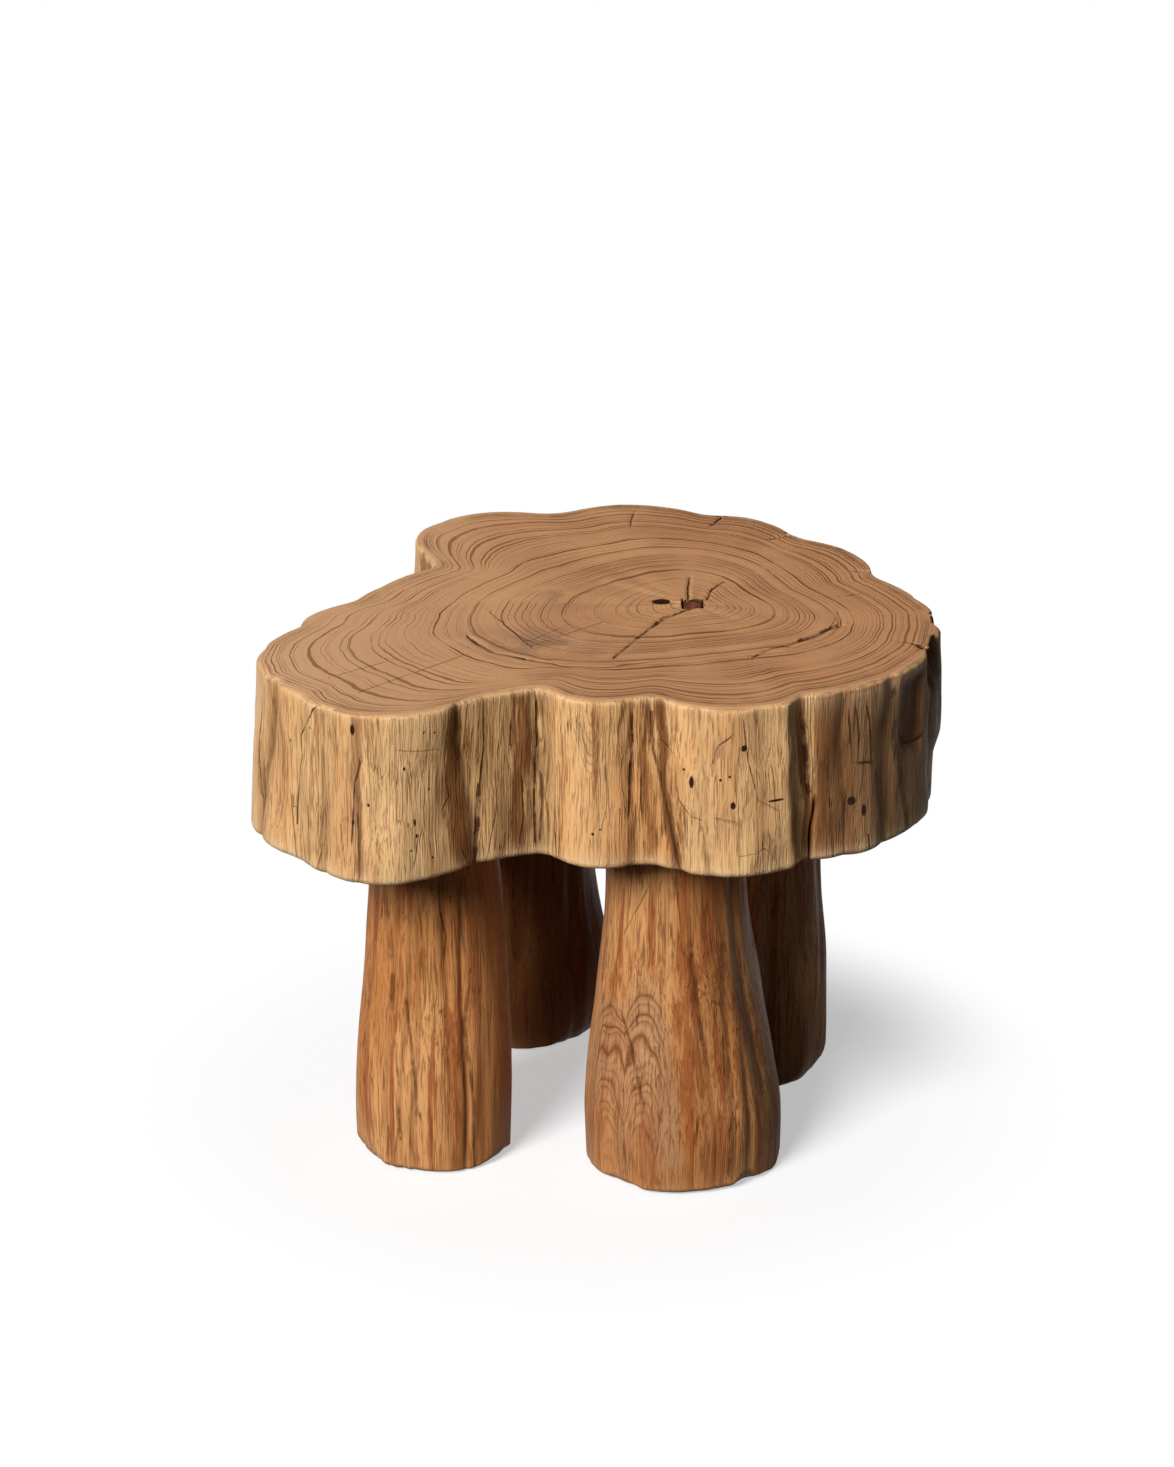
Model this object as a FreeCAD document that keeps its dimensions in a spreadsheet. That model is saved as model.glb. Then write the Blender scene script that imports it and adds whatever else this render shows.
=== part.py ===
import FreeCAD, Part
import math
import os
import Sketcher

# Log stool: a cross-cut slab of a lobed trunk on four carved legs.
# Each leg is held by a blind round tenon, half of it in the leg and half in the slab's underside. A fox
# wedge, pushed into the tenon's upper end by the mortise's floor, spreads it there, so nothing shows on top.
# A small plug fills the heart of the slab. Lengths are in millimetres. The origin is on the floor below the
# middle of the slab, +X runs along the slab's width and -Y is the front.

SIZES = [
    ("overall_height", 430, "floor to the top of the slab"),
    ("slab_width", 532, "slab, left to right"),
    ("slab_depth", 492, "slab, front to back"),
    ("slab_thickness", 140, "slab, underside to top"),
    ("flute_round", 12, "radius in the narrow valleys between lobes"),
    ("hollow_round", 40, "radius in the wide hollow at the rear"),
    ("top_edge_round", 14, "worn upper rim of the slab"),
    ("bottom_edge_round", 7, "lower rim of the slab"),
    ("groove_round", 10, "radius of the grooves down the slab's side"),
    ("groove_depth", 6, "depth of a full groove down the slab's side"),
    ("scoop_round", 34, "radius of the scoop in the slab's right side"),
    ("scoop_depth", 7, "depth of the scoop in the slab's right side"),
    ("scoop_height", 99.4, "slab's underside up to the scoop's middle"),
    ("gouge_round", 18, "radius of the bite out of the slab's right rim"),
    ("gouge_depth", 9, "depth of the bite out of the slab's right rim"),
    ("gouge_drop", 5.6, "slab's top down to the middle of that bite"),
    ("front_left_from_side", 130, "leg axis in from the slab's left side"),
    ("front_left_from_end", 155, "leg axis in from the slab's front"),
    ("front_left_foot", 124, "leg width near the floor"),
    ("front_left_top", 102, "leg width under the slab"),
    ("front_right_from_side", 203, "leg axis in from the slab's right side"),
    ("front_right_from_end", 134, "leg axis in from the slab's front"),
    ("front_right_foot", 161, "leg width near the floor"),
    ("front_right_top", 110, "leg width under the slab"),
    ("rear_left_from_side", 204, "leg axis in from the slab's left side"),
    ("rear_left_from_end", 99, "leg axis in from the slab's back"),
    ("rear_left_foot", 140, "leg width near the floor"),
    ("rear_left_top", 100, "leg width under the slab"),
    ("rear_right_from_side", 136, "leg axis in from the slab's right side"),
    ("rear_right_from_end", 186, "leg axis in from the slab's back"),
    ("rear_right_foot", 117, "leg width near the floor"),
    ("rear_right_top", 96, "leg width under the slab"),
    ("foot_bevel", 5, "bevel round the sole of each foot"),
    ("tenon_diameter", 40, "straight part of a tenon"),
    ("tenon_in_leg", 70, "tenon below the slab's underside"),
    ("tenon_in_slab", 80, "tenon above the slab's underside"),
    ("tenon_spread", 1.5, "growth of the tenon's radius at its wedged end"),
    ("tenon_chamfer", 2, "bevel round the tenon's lower end"),
    ("glue_gap", 0.15, "clearance round a tenon and round the plug"),
    ("end_gap", 2, "room past each end of a tenon"),
    ("wedge_length", 42, "fox wedge, tip to head"),
    ("wedge_width", 36, "fox wedge, across the tenon"),
    ("wedge_head", 7, "fox wedge, thickness at its head"),
    ("wedge_tip", 2.4, "fox wedge, thickness at its tip"),
    ("kerf_run_out", 4, "saw kerf past the wedge's tip"),
    ("plug_from_side", 194, "heart plug's middle in from the slab's right side"),
    ("plug_from_end", 246, "heart plug's middle in from the slab's front"),
    ("plug_length", 15, "heart plug, left to right"),
    ("plug_width", 18, "heart plug, front to back"),
    ("plug_depth", 20, "heart plug, top to bottom"),
    ("plug_recess", 1.5, "slab top down to the plug's top"),
    ("plug_corner", 2.5, "round on the plug's upright edges"),
]

# The trunk's lobes, counter-clockwise from the right: where each lobe's centre lies between the middle of
# the slab (0) and the place where the lobe would touch the slab's side (1 or -1), across and front to back;
# its radius as a share of the slab's mean half size; and the radius of the valley to the next lobe.
LOBES = [
    ("right", 1.00, -0.55, 0.63, "flute_round"),
    ("rear_right", 0.74, 0.48, 0.37, "flute_round"),
    ("rear_shoulder", 0.46, 0.84, 0.32, "flute_round"),
    ("rear", 0.13, 1.00, 0.32, "hollow_round"),
    ("rear_left", -0.41, 0.89, 0.30, "flute_round"),
    ("left_facet", -0.45, -0.48, 0.61, "flute_round"),
    ("left_shoulder", -0.87, -0.24, 0.20, "flute_round"),
    ("left", -1.00, -0.80, 0.38, "flute_round"),
    ("front_left", -0.82, -1.00, 0.26, "flute_round"),
    ("front_facet", -0.57, -0.74, 0.30, "flute_round"),
    ("front_middle", 0.01, -0.83, 0.20, "flute_round"),
    ("front_right", 0.49, -0.91, 0.28, "flute_round"),
]

# The grooves down the trunk's side: the lobe each runs down; the direction from the lobe's centre to it, in
# degrees; how far it leans from upright, in degrees, its upper end counter-clockwise; and its depth as a share
# of a full groove.
GROOVES = [
    ("left_side", "left", 168, 0, 0.6),
    ("left_face", "left", 205, 9, 0.85),
    ("front_left_face", "front_left", 226, 4, 0.6),
    ("right_side", "right", 8, 3, 0.85),
    ("right_rear", "right", 25, -3, 0.7),
    ("rear_right_side", "rear_right", 40, -1, 0.7),
    ("rear_notch", "rear_shoulder", 28, -3, 1.15),
    ("rear_check", "rear_shoulder", 76, 1, 1.15),
    ("rear_middle", "rear", 100, -3, 0.7),
    ("rear_left_corner", "rear_left", 144, -3, 0.7),
    ("rear_left_side", "rear_left", 194, 2, 0.6),
    ("left_facet_middle", "left_facet", 149, -3, 0.7),
]
# Two bites out of the right side: direction from that lobe's centre, in degrees, and height above the underside.
BITES = [
    ("scoop", 328, "sizes.scoop_height"),
    ("gouge", 344, "sizes.slab_thickness - sizes.gouge_drop"),
]

# Where a leg's sections are, from the foot's bevel (0) to the slab's underside (1), and how much of the
# swelling from the leg's top width to its foot width each leg has there.
SECTION_HEIGHTS = [0.00, 0.14, 0.30, 0.46, 0.68, 1.00]
LEG_SWELLING = {
    "front_left": [1.00, 0.98, 0.90, 0.72, 0.38, 0.00],
    "front_right": [0.94, 1.00, 0.80, 0.52, 0.16, 0.00],
    "rear_left": [1.00, 0.88, 0.62, 0.31, 0.10, 0.00],
    "rear_right": [0.86, 1.00, 0.97, 0.81, 0.30, 0.00],
}
# A leg's section is an ellipse: its small width as a share of its large one, and the turn of each leg.
LEG_FLATNESS = 0.95
LEG_TURN = {"front_left": 15, "front_right": 0, "rear_left": 40, "rear_right": -25}

LEFT = "(sizes.{0}_from_side - sizes.slab_width / 2)"
RIGHT = "(sizes.slab_width / 2 - sizes.{0}_from_side)"
FRONT = "(sizes.{0}_from_end - sizes.slab_depth / 2)"
REAR = "(sizes.slab_depth / 2 - sizes.{0}_from_end)"
# Each leg's axis and the plug's middle, across and front to back, measured in from the slab's nearer sides.
PLACES = {
    "front_left": (LEFT.format("front_left"), FRONT.format("front_left")),
    "front_right": (RIGHT.format("front_right"), FRONT.format("front_right")),
    "rear_left": (LEFT.format("rear_left"), REAR.format("rear_left")),
    "rear_right": (RIGHT.format("rear_right"), REAR.format("rear_right")),
    "plug": (RIGHT.format("plug"), FRONT.format("plug")),
}

UPRIGHT = FreeCAD.Vector(0, 0, 1)
LEVEL_TOLERANCE = 1e-4
LEAST_CUT = 1


def make_sheet(document):
    """Write every driving size to the sheet, one row each: name, number, meaning."""
    sheet = document.addObject("Spreadsheet::Sheet", "sizes")
    for row, (alias, value, meaning) in enumerate(SIZES, start=1):
        sheet.set(f"A{row}", alias)
        sheet.set(f"B{row}", str(value))
        sheet.set(f"C{row}", meaning)
        sheet.setAlias(f"B{row}", alias)
    document.recompute()
    return sheet


def bind(thing, formulas):
    """Tie properties of a document object to formulas on the sheet."""
    for name, formula in formulas.items():
        thing.setExpression(name, formula)


def new_body(document, label):
    """Start a sub-part; its label names its file."""
    body = document.addObject("PartDesign::Body", label)
    body.Label = label
    return body


def level_sketch(body, name, height_formula=None):
    """Add a sketch that lies level in the body, at a height given by a formula."""
    sketch = body.newObject("Sketcher::SketchObject", name)
    plane = next(item for item in body.Origin.OriginFeatures if item.Role == "XY_Plane")
    sketch.AttachmentSupport = [(plane, "")]
    sketch.MapMode = "FlatFace"
    if height_formula:
        sketch.setExpression("AttachmentOffset.Base.z", height_formula)
    return sketch


def hold(sketch, name, formula, kind, *points):
    """Add a dimension to a sketch and tie it to a formula."""
    index = sketch.addConstraint(Sketcher.Constraint(kind, *points))
    sketch.renameConstraint(index, name)
    sketch.setExpression(f"Constraints.{name}", formula)


def edges_at_height(shape, height):
    """Names of the edges that lie level at a height in the body."""
    names = []
    for index, edge in enumerate(shape.Edges, start=1):
        box = edge.BoundBox
        if abs(box.ZMin - height) < LEVEL_TOLERANCE and abs(box.ZMax - height) < LEVEL_TOLERANCE:
            names.append(f"Edge{index}")
    return names


def upright_edges(shape):
    """Names of the straight edges that stand upright."""
    names = []
    for index, edge in enumerate(shape.Edges, start=1):
        box = edge.BoundBox
        if box.XLength < LEVEL_TOLERANCE and box.YLength < LEVEL_TOLERANCE:
            names.append(f"Edge{index}")
    return names


def round_edges(body, name, base, edges, radius_formula):
    """Fillet edges of a feature."""
    fillet = body.newObject("PartDesign::Fillet", name)
    fillet.Base = (base, edges)
    fillet.setExpression("Radius", radius_formula)
    return fillet


def drill(body, name, kind, formulas, turn=None):
    """Cut a primitive out of a body, turned if asked, and make sure that it took material away."""
    before = body.Shape.Volume
    cut = body.newObject(f"PartDesign::Subtractive{kind}", name)
    if turn:
        cut.Placement.Rotation = turn
    bind(cut, formulas)
    body.Document.recompute()
    check_cut(body, name, before)
    return cut


def check_cut(body, name, volume_before):
    """Stop if a cut took nothing away."""
    if body.Shape.Volume > volume_before - LEAST_CUT:
        raise RuntimeError(f"{name} cuts nothing")


# Seat slab

def lobe_circles(sheet):
    """Each lobe's centre and radius in millimetres, with the radius of the valley after it."""
    half_width = sheet.get("slab_width") / 2
    half_depth = sheet.get("slab_depth") / 2
    circles = []
    for name, across, along, share, valley in LOBES:
        radius = share * (half_width + half_depth) / 2
        centre = FreeCAD.Vector(across * (half_width - radius), along * (half_depth - radius), 0)
        circles.append((centre, radius, sheet.get(valley)))
    return circles


def lobe_formulas(name):
    """Formulas for a lobe's centre, across and front to back, and for its radius."""
    across, along, share = next(row[1:4] for row in LOBES if row[0] == name)
    radius = f"{share} * (sizes.slab_width + sizes.slab_depth) / 4"
    return (
        f"{across} * (sizes.slab_width / 2 - {radius})",
        f"{along} * (sizes.slab_depth / 2 - {radius})",
        radius,
    )


def valley_centre(first, second):
    """Centre of the valley circle that touches two neighbouring lobes from outside."""
    centre_a, radius_a, valley = first
    centre_b, radius_b, _ = second
    along = centre_b - centre_a
    span = along.Length
    along.normalize()
    outward = FreeCAD.Vector(along.y, -along.x, 0)
    reach_a = radius_a + valley
    reach_b = radius_b + valley
    foot = (reach_a ** 2 - reach_b ** 2 + span ** 2) / (2 * span)
    rise = math.sqrt(reach_a ** 2 - foot ** 2)
    return centre_a + along * foot + outward * rise


def bearing(start, end):
    """Direction from one point to another, in radians."""
    return math.atan2(end.y - start.y, end.x - start.x)


def draw_outline(sketch, sheet):
    """Draw the lobed outline as tangent arcs: lobe, valley, lobe, valley and so on, all dimensioned."""
    circles = lobe_circles(sheet)
    count = len(circles)
    valleys = [valley_centre(circles[i], circles[(i + 1) % count]) for i in range(count)]
    for i, (centre, radius, valley) in enumerate(circles):
        following = circles[(i + 1) % count][0]
        lobe = Part.Circle(centre, UPRIGHT, radius)
        start = bearing(centre, valleys[i - 1])
        end = bearing(centre, valleys[i])
        sketch.addGeometry(Part.ArcOfCircle(lobe, start, end))
        hollow = Part.Circle(valleys[i], UPRIGHT, valley)
        start = bearing(valleys[i], following)
        end = bearing(valleys[i], centre)
        sketch.addGeometry(Part.ArcOfCircle(hollow, start, end))
    for i, (name, _, _, _, valley) in enumerate(LOBES):
        lobe_arc = 2 * i
        valley_arc = 2 * i + 1
        next_lobe_arc = (2 * i + 2) % (2 * count)
        sketch.addConstraint(Sketcher.Constraint("Tangent", lobe_arc, 2, valley_arc, 2))
        sketch.addConstraint(Sketcher.Constraint("Tangent", valley_arc, 1, next_lobe_arc, 1))
        centre, radius, valley_radius = circles[i]
        across_formula, along_formula, radius_formula = lobe_formulas(name)
        hold(sketch, f"{name}_radius", radius_formula, "Radius", lobe_arc, radius)
        hold(sketch, f"{name}_across", across_formula, "DistanceX", -1, 1, lobe_arc, 3, centre.x)
        hold(sketch, f"{name}_along", along_formula, "DistanceY", -1, 1, lobe_arc, 3, centre.y)
        hold(sketch, f"{name}_valley", f"sizes.{valley}", "Radius", valley_arc, valley_radius)


def beside_lobe(lobe, direction, reach):
    """Formulas for the place at a direction in radians from a lobe's centre, its radius plus a reach away."""
    across, along, radius = lobe_formulas(lobe)
    distance = f"({radius} + {reach})"
    return f"{across} + {distance} * {math.cos(direction)}", f"{along} + {distance} * {math.sin(direction)}"


def cut_grooves(body):
    """Run a round groove down the side at each place, through the whole slice, leaning about its middle."""
    length = "(sizes.slab_thickness + 2 * sizes.groove_round)"
    for name, lobe, degrees, lean, share in GROOVES:
        direction = math.radians(degrees)
        slope = math.radians(lean)
        across, along = beside_lobe(lobe, direction, f"sizes.groove_round - {share} * sizes.groove_depth")
        outward = FreeCAD.Vector(math.cos(direction), math.sin(direction), 0)
        drill(body, f"{name}_groove", "Cylinder", {
            "Radius": "sizes.groove_round",
            "Height": length,
            "Placement.Base.x": f"{across} + {length} / 2 * {math.sin(slope) * outward.y}",
            "Placement.Base.y": f"{along} - {length} / 2 * {math.sin(slope) * outward.x}",
            "Placement.Base.z": f"sizes.slab_thickness / 2 - {length} / 2 * {math.cos(slope)}",
        }, FreeCAD.Rotation(outward, -lean))


def cut_bites(body):
    """Take the scoop out of the right side and the gouge out of its rim, each a part of a ball."""
    for name, degrees, height in BITES:
        reach = f"sizes.{name}_round - sizes.{name}_depth"
        across, along = beside_lobe("right", math.radians(degrees), reach)
        drill(body, f"right_{name}", "Sphere", {
            "Radius": f"sizes.{name}_round",
            "Placement.Base.x": across,
            "Placement.Base.y": along,
            "Placement.Base.z": height,
        })


UNDERSIDE = "(sizes.overall_height - sizes.slab_thickness)"
TENON_RADIUS = "sizes.tenon_diameter / 2"
MORTISE_FLOOR = "(sizes.tenon_in_slab + sizes.end_gap)"
WEDGE_TIP_LEVEL = f"({MORTISE_FLOOR} - sizes.wedge_length)"
FLARE_LENGTH = "(sizes.wedge_length - sizes.end_gap)"


def make_slab(document, sheet):
    """Slice of trunk with rounded rims, a grooved side, a mortise over each leg and the hole at its heart."""
    body = new_body(document, "seat_slab")
    bind(body, {"Placement.Base.z": UNDERSIDE})
    outline = level_sketch(body, "slab_outline")
    draw_outline(outline, sheet)
    pad = body.newObject("PartDesign::Pad", "slab_slice")
    pad.Profile = outline
    bind(pad, {"Length": "sizes.slab_thickness"})
    document.recompute()
    thickness = sheet.get("slab_thickness")
    rim = round_edges(body, "upper_rim", pad, edges_at_height(pad.Shape, thickness), "sizes.top_edge_round")
    document.recompute()
    round_edges(body, "lower_rim", rim, edges_at_height(rim.Shape, 0), "sizes.bottom_edge_round")
    document.recompute()
    cut_grooves(body)
    cut_bites(body)
    for leg in LEG_SWELLING:
        across, along = PLACES[leg]
        place = {"Placement.Base.x": across, "Placement.Base.y": along}
        bore = {"Radius": f"{TENON_RADIUS} + sizes.glue_gap", "Height": WEDGE_TIP_LEVEL}
        drill(body, f"{leg}_mortise", "Cylinder", {**place, **bore})
        flare = {
            "Placement.Base.z": WEDGE_TIP_LEVEL,
            "Radius1": f"{TENON_RADIUS} + sizes.glue_gap",
            "Radius2": f"{TENON_RADIUS} + sizes.glue_gap"
                       f" + sizes.tenon_spread * sizes.wedge_length / {FLARE_LENGTH}",
            "Height": "sizes.wedge_length",
        }
        drill(body, f"{leg}_mortise_flare", "Cone", {**place, **flare})
    across, along = PLACES["plug"]
    drill(body, "heart_hole", "Box", {
        "Length": "sizes.plug_length + 2 * sizes.glue_gap",
        "Width": "sizes.plug_width + 2 * sizes.glue_gap",
        "Height": "sizes.plug_depth + sizes.plug_recess",
        "Placement.Base.x": f"{across} - sizes.plug_length / 2 - sizes.glue_gap",
        "Placement.Base.y": f"{along} - sizes.plug_width / 2 - sizes.glue_gap",
        "Placement.Base.z": "sizes.slab_thickness - sizes.plug_depth - sizes.plug_recess",
    })
    return body


# Legs

def make_leg(document, leg):
    """Carved leg: a bevelled foot, a loft through six ellipses above it, and a socket for its tenon."""
    body = new_body(document, f"leg_{leg}")
    body.Placement.Rotation = FreeCAD.Rotation(UPRIGHT, LEG_TURN[leg])
    across, along = PLACES[leg]
    bind(body, {"Placement.Base.x": across, "Placement.Base.y": along})
    sections = []
    for number, (height, swelling) in enumerate(zip(SECTION_HEIGHTS, LEG_SWELLING[leg]), start=1):
        level = f"sizes.foot_bevel + {height} * ({UNDERSIDE} - sizes.foot_bevel)"
        sketch = level_sketch(body, f"{leg}_section_{number}", level)
        draw_ellipse(sketch, leg_width(leg, swelling))
        sections.append(sketch)
    sole = level_sketch(body, f"{leg}_sole")
    draw_ellipse(sole, f"({leg_width(leg, LEG_SWELLING[leg][0])} - 2 * sizes.foot_bevel)")
    billet = body.newObject("PartDesign::AdditiveLoft", f"{leg}_billet")
    billet.Profile = sections[0]
    billet.Sections = sections[1:]
    document.recompute()
    bevel = body.newObject("PartDesign::AdditiveLoft", f"{leg}_foot")
    bevel.Profile = sole
    bevel.Sections = sections[:1]
    bevel.Ruled = True
    document.recompute()
    drill(body, f"{leg}_socket", "Cylinder", {
        "Radius": f"{TENON_RADIUS} + sizes.glue_gap",
        "Height": "sizes.tenon_in_leg + sizes.end_gap",
        "Placement.Base.z": f"{UNDERSIDE} - sizes.tenon_in_leg - sizes.end_gap",
    })
    return body


def leg_width(leg, swelling):
    """Formula for a leg's width at a section, from its top width to its foot width."""
    return f"(sizes.{leg}_top + {swelling} * (sizes.{leg}_foot - sizes.{leg}_top))"


def draw_ellipse(sketch, width_formula):
    """Draw an ellipse about the body's axis, its long way along X, from a formula for its width."""
    middle = FreeCAD.Vector(0, 0, 0)
    start_radius = 50
    sketch.addGeometry(Part.Ellipse(middle, start_radius, start_radius * LEG_FLATNESS))
    sketch.exposeInternalGeometry(0)
    long_axis = 1
    short_axis = 2
    sketch.addConstraint(Sketcher.Constraint("Coincident", 0, 3, -1, 1))
    sketch.addConstraint(Sketcher.Constraint("Horizontal", long_axis))
    start_width = 2 * start_radius
    hold(sketch, "long_width", width_formula, "Distance", long_axis, start_width)
    short_formula = f"{LEG_FLATNESS} * {width_formula}"
    hold(sketch, "short_width", short_formula, "Distance", short_axis, start_width * LEG_FLATNESS)


# Tenons and fox wedges

STAND_UP = FreeCAD.Rotation(FreeCAD.Vector(1, 0, 0), 90)


def set_on_joint(body, leg):
    """Put a body on the leg's axis at the slab's underside, its X pointing away from the slab's middle."""
    body.Placement.Rotation = FreeCAD.Rotation(UPRIGHT, 0)
    across, along = PLACES[leg]
    bind(body, {
        "Placement.Base.x": across,
        "Placement.Base.y": along,
        "Placement.Base.z": UNDERSIDE,
        "Placement.Rotation.Angle": f"atan2({along}; {across})",
    })


def wedge_formulas(tip_height, length, tip, head, width):
    """Sizes of a wedge that stands on its tip: thickness across X, width across Y, taper along Z."""
    return {
        "Ymin": "0",
        "Ymax": length,
        "Xmin": f"-({tip}) / 2",
        "Xmax": f"({tip}) / 2",
        "X2min": f"-({head}) / 2",
        "X2max": f"({head}) / 2",
        "Zmin": f"-({width}) / 2",
        "Zmax": f"({width}) / 2",
        "Z2min": f"-({width}) / 2",
        "Z2max": f"({width}) / 2",
        "Placement.Base.z": tip_height,
    }


def make_tenon(document, leg):
    """Round tenon, straight below and flared above, with the kerf that takes the wedge."""
    body = new_body(document, f"tenon_{leg}")
    set_on_joint(body, leg)
    peg = body.newObject("PartDesign::AdditiveCylinder", f"{leg}_peg")
    bind(peg, {
        "Radius": TENON_RADIUS,
        "Height": f"sizes.tenon_in_leg + {WEDGE_TIP_LEVEL}",
        "Placement.Base.z": "-sizes.tenon_in_leg",
    })
    flare = body.newObject("PartDesign::AdditiveCone", f"{leg}_flare")
    bind(flare, {
        "Radius1": TENON_RADIUS,
        "Radius2": f"{TENON_RADIUS} + sizes.tenon_spread",
        "Height": FLARE_LENGTH,
        "Placement.Base.z": WEDGE_TIP_LEVEL,
    })
    document.recompute()
    lower_end = -document.sizes.get("tenon_in_leg")
    bevel = body.newObject("PartDesign::Chamfer", f"{leg}_bevel")
    bevel.Base = (flare, edges_at_height(flare.Shape, lower_end))
    bind(bevel, {"Size": "sizes.tenon_chamfer"})
    document.recompute()
    taper = "(sizes.wedge_head - sizes.wedge_tip) / sizes.wedge_length"
    before = body.Shape.Volume
    kerf = body.newObject("PartDesign::SubtractiveWedge", f"{leg}_kerf")
    kerf.Placement.Rotation = STAND_UP
    bind(kerf, wedge_formulas(
        tip_height=f"{WEDGE_TIP_LEVEL} - sizes.kerf_run_out",
        length="sizes.wedge_length + sizes.kerf_run_out",
        tip=f"sizes.wedge_tip - {taper} * sizes.kerf_run_out",
        head="sizes.wedge_head",
        width="2 * sizes.tenon_diameter",
    ))
    document.recompute()
    check_cut(body, kerf.Name, before)
    return body


def make_wedge(document, leg):
    """Fox wedge, seated in the tenon's kerf with its head against the mortise's floor."""
    body = new_body(document, f"wedge_{leg}")
    set_on_joint(body, leg)
    blade = body.newObject("PartDesign::AdditiveWedge", f"{leg}_blade")
    blade.Placement.Rotation = STAND_UP
    bind(blade, wedge_formulas(
        tip_height=WEDGE_TIP_LEVEL,
        length="sizes.wedge_length",
        tip="sizes.wedge_tip",
        head="sizes.wedge_head",
        width="sizes.wedge_width",
    ))
    document.recompute()
    return body


# Heart plug

def make_plug(document):
    """Block that fills the hole at the heart of the slab, a little below the top."""
    body = new_body(document, "heart_plug")
    across, along = PLACES["plug"]
    bind(body, {
        "Placement.Base.x": f"{across} - sizes.plug_length / 2",
        "Placement.Base.y": f"{along} - sizes.plug_width / 2",
        "Placement.Base.z": "sizes.overall_height - sizes.plug_recess - sizes.plug_depth",
    })
    block = body.newObject("PartDesign::AdditiveBox", "plug_block")
    bind(block, {"Length": "sizes.plug_length", "Width": "sizes.plug_width", "Height": "sizes.plug_depth"})
    document.recompute()
    round_edges(body, "plug_corners", block, upright_edges(block.Shape), "sizes.plug_corner")
    document.recompute()
    return body


# The whole stool

document = FreeCAD.newDocument("log_stool")
sheet = make_sheet(document)
pieces = [make_slab(document, sheet), make_plug(document)]
for leg in LEG_SWELLING:
    pieces.append(make_leg(document, leg))
    pieces.append(make_tenon(document, leg))
    pieces.append(make_wedge(document, leg))
document.recompute()

for item in document.Objects:
    if "Invalid" in item.State or "Error" in item.State:
        raise RuntimeError(f"{item.Label} failed: {item.State}")
for piece in pieces:
    if piece.Shape.isNull() or not piece.Shape.isValid() or len(piece.Shape.Solids) != 1:
        raise RuntimeError(f"{piece.Label} is not one valid solid")

os.makedirs("parts", exist_ok=True)
for piece in pieces:
    piece.Shape.exportStep(f"parts/{piece.Label}.step")
    box = piece.Shape.optimalBoundingBox(False)
    print(f"{piece.Label}: {box.XLength:.1f} x {box.YLength:.1f} x {box.ZLength:.1f} mm, "
          f"bottom at {box.ZMin:.1f}, {piece.Shape.Volume / 1000:.1f} cm3")
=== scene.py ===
"""Log stool: a cross-cut trunk slice on four carved legs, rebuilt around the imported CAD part."""

import math

import bpy
import numpy as np
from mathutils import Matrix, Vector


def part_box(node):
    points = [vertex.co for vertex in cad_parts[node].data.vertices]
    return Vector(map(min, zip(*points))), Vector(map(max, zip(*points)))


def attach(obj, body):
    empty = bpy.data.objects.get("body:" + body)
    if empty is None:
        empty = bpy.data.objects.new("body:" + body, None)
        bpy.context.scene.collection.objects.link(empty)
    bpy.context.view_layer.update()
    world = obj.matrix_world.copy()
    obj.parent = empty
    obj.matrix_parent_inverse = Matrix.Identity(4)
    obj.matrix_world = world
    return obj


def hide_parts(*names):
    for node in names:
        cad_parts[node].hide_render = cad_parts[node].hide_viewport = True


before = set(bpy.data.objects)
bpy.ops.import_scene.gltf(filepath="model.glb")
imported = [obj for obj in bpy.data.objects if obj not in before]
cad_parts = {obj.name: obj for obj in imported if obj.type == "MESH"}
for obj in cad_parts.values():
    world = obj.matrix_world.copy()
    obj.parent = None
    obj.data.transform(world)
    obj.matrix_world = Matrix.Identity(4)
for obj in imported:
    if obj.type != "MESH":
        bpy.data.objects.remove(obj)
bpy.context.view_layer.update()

MM = 0.001


# Seat slab
# One slice sawn straight across a lobed trunk, so its top is end grain and its sides are debarked sapwood.
# The rim is sanded round, the sides are scraped and keep the trunk's flutes, splits and worm holes.
# It sits on the four legs, each held by a blind tenon in its underside.

WORN_OFF = 0.6 * MM
RIM_REACH = 4.5 * MM
RIM_DROP = 4 * MM
RIM_TURN = math.radians(72)
LOWER_RIM = 6 * MM
WELL_DEPTH = 14 * MM
WELL_GAP = (0.5 * MM, 0.8 * MM)

# The measure of growth rings runs from nought at the heart to this at the rim
RING_SPAN = 0.25

SLAB_COLUMNS = 720
TOP_ROWS = 72
RIM_ROWS = 8
WALL_ROWS = 46
FOOT_ROWS = 4
UNDER_ROWS = 5

slab_low, slab_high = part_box("seat_slab")
heart_low, heart_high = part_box("heart_plug")
HEART = np.array([(heart_low.x + heart_high.x) / 2, (heart_low.y + heart_high.y) / 2])
PLUG_HALF = np.array([(heart_high.x - heart_low.x) / 2, (heart_high.y - heart_low.y) / 2])
TOP = slab_high.z - WORN_OFF
UNDERSIDE = slab_low.z

# The trunk's lobes, counter-clockwise from the right: centre across and front to back, as shares of the way
# to where the lobe touches the slab's sides; radius as a share of the mean half size; radius of the valley
# to the next lobe in millimetres
LOBES = [
    (1.00, -0.55, 0.63, 12),
    (0.74, 0.48, 0.37, 12),
    (0.46, 0.84, 0.32, 12),
    (0.13, 1.00, 0.32, 40),
    (-0.41, 0.89, 0.30, 12),
    (-0.45, -0.48, 0.61, 12),
    (-0.87, -0.24, 0.20, 12),
    (-1.00, -0.80, 0.38, 12),
    (-0.82, -1.00, 0.26, 12),
    (-0.57, -0.74, 0.30, 12),
    (0.01, -0.83, 0.20, 12),
    (0.49, -0.91, 0.28, 12),
]


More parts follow.
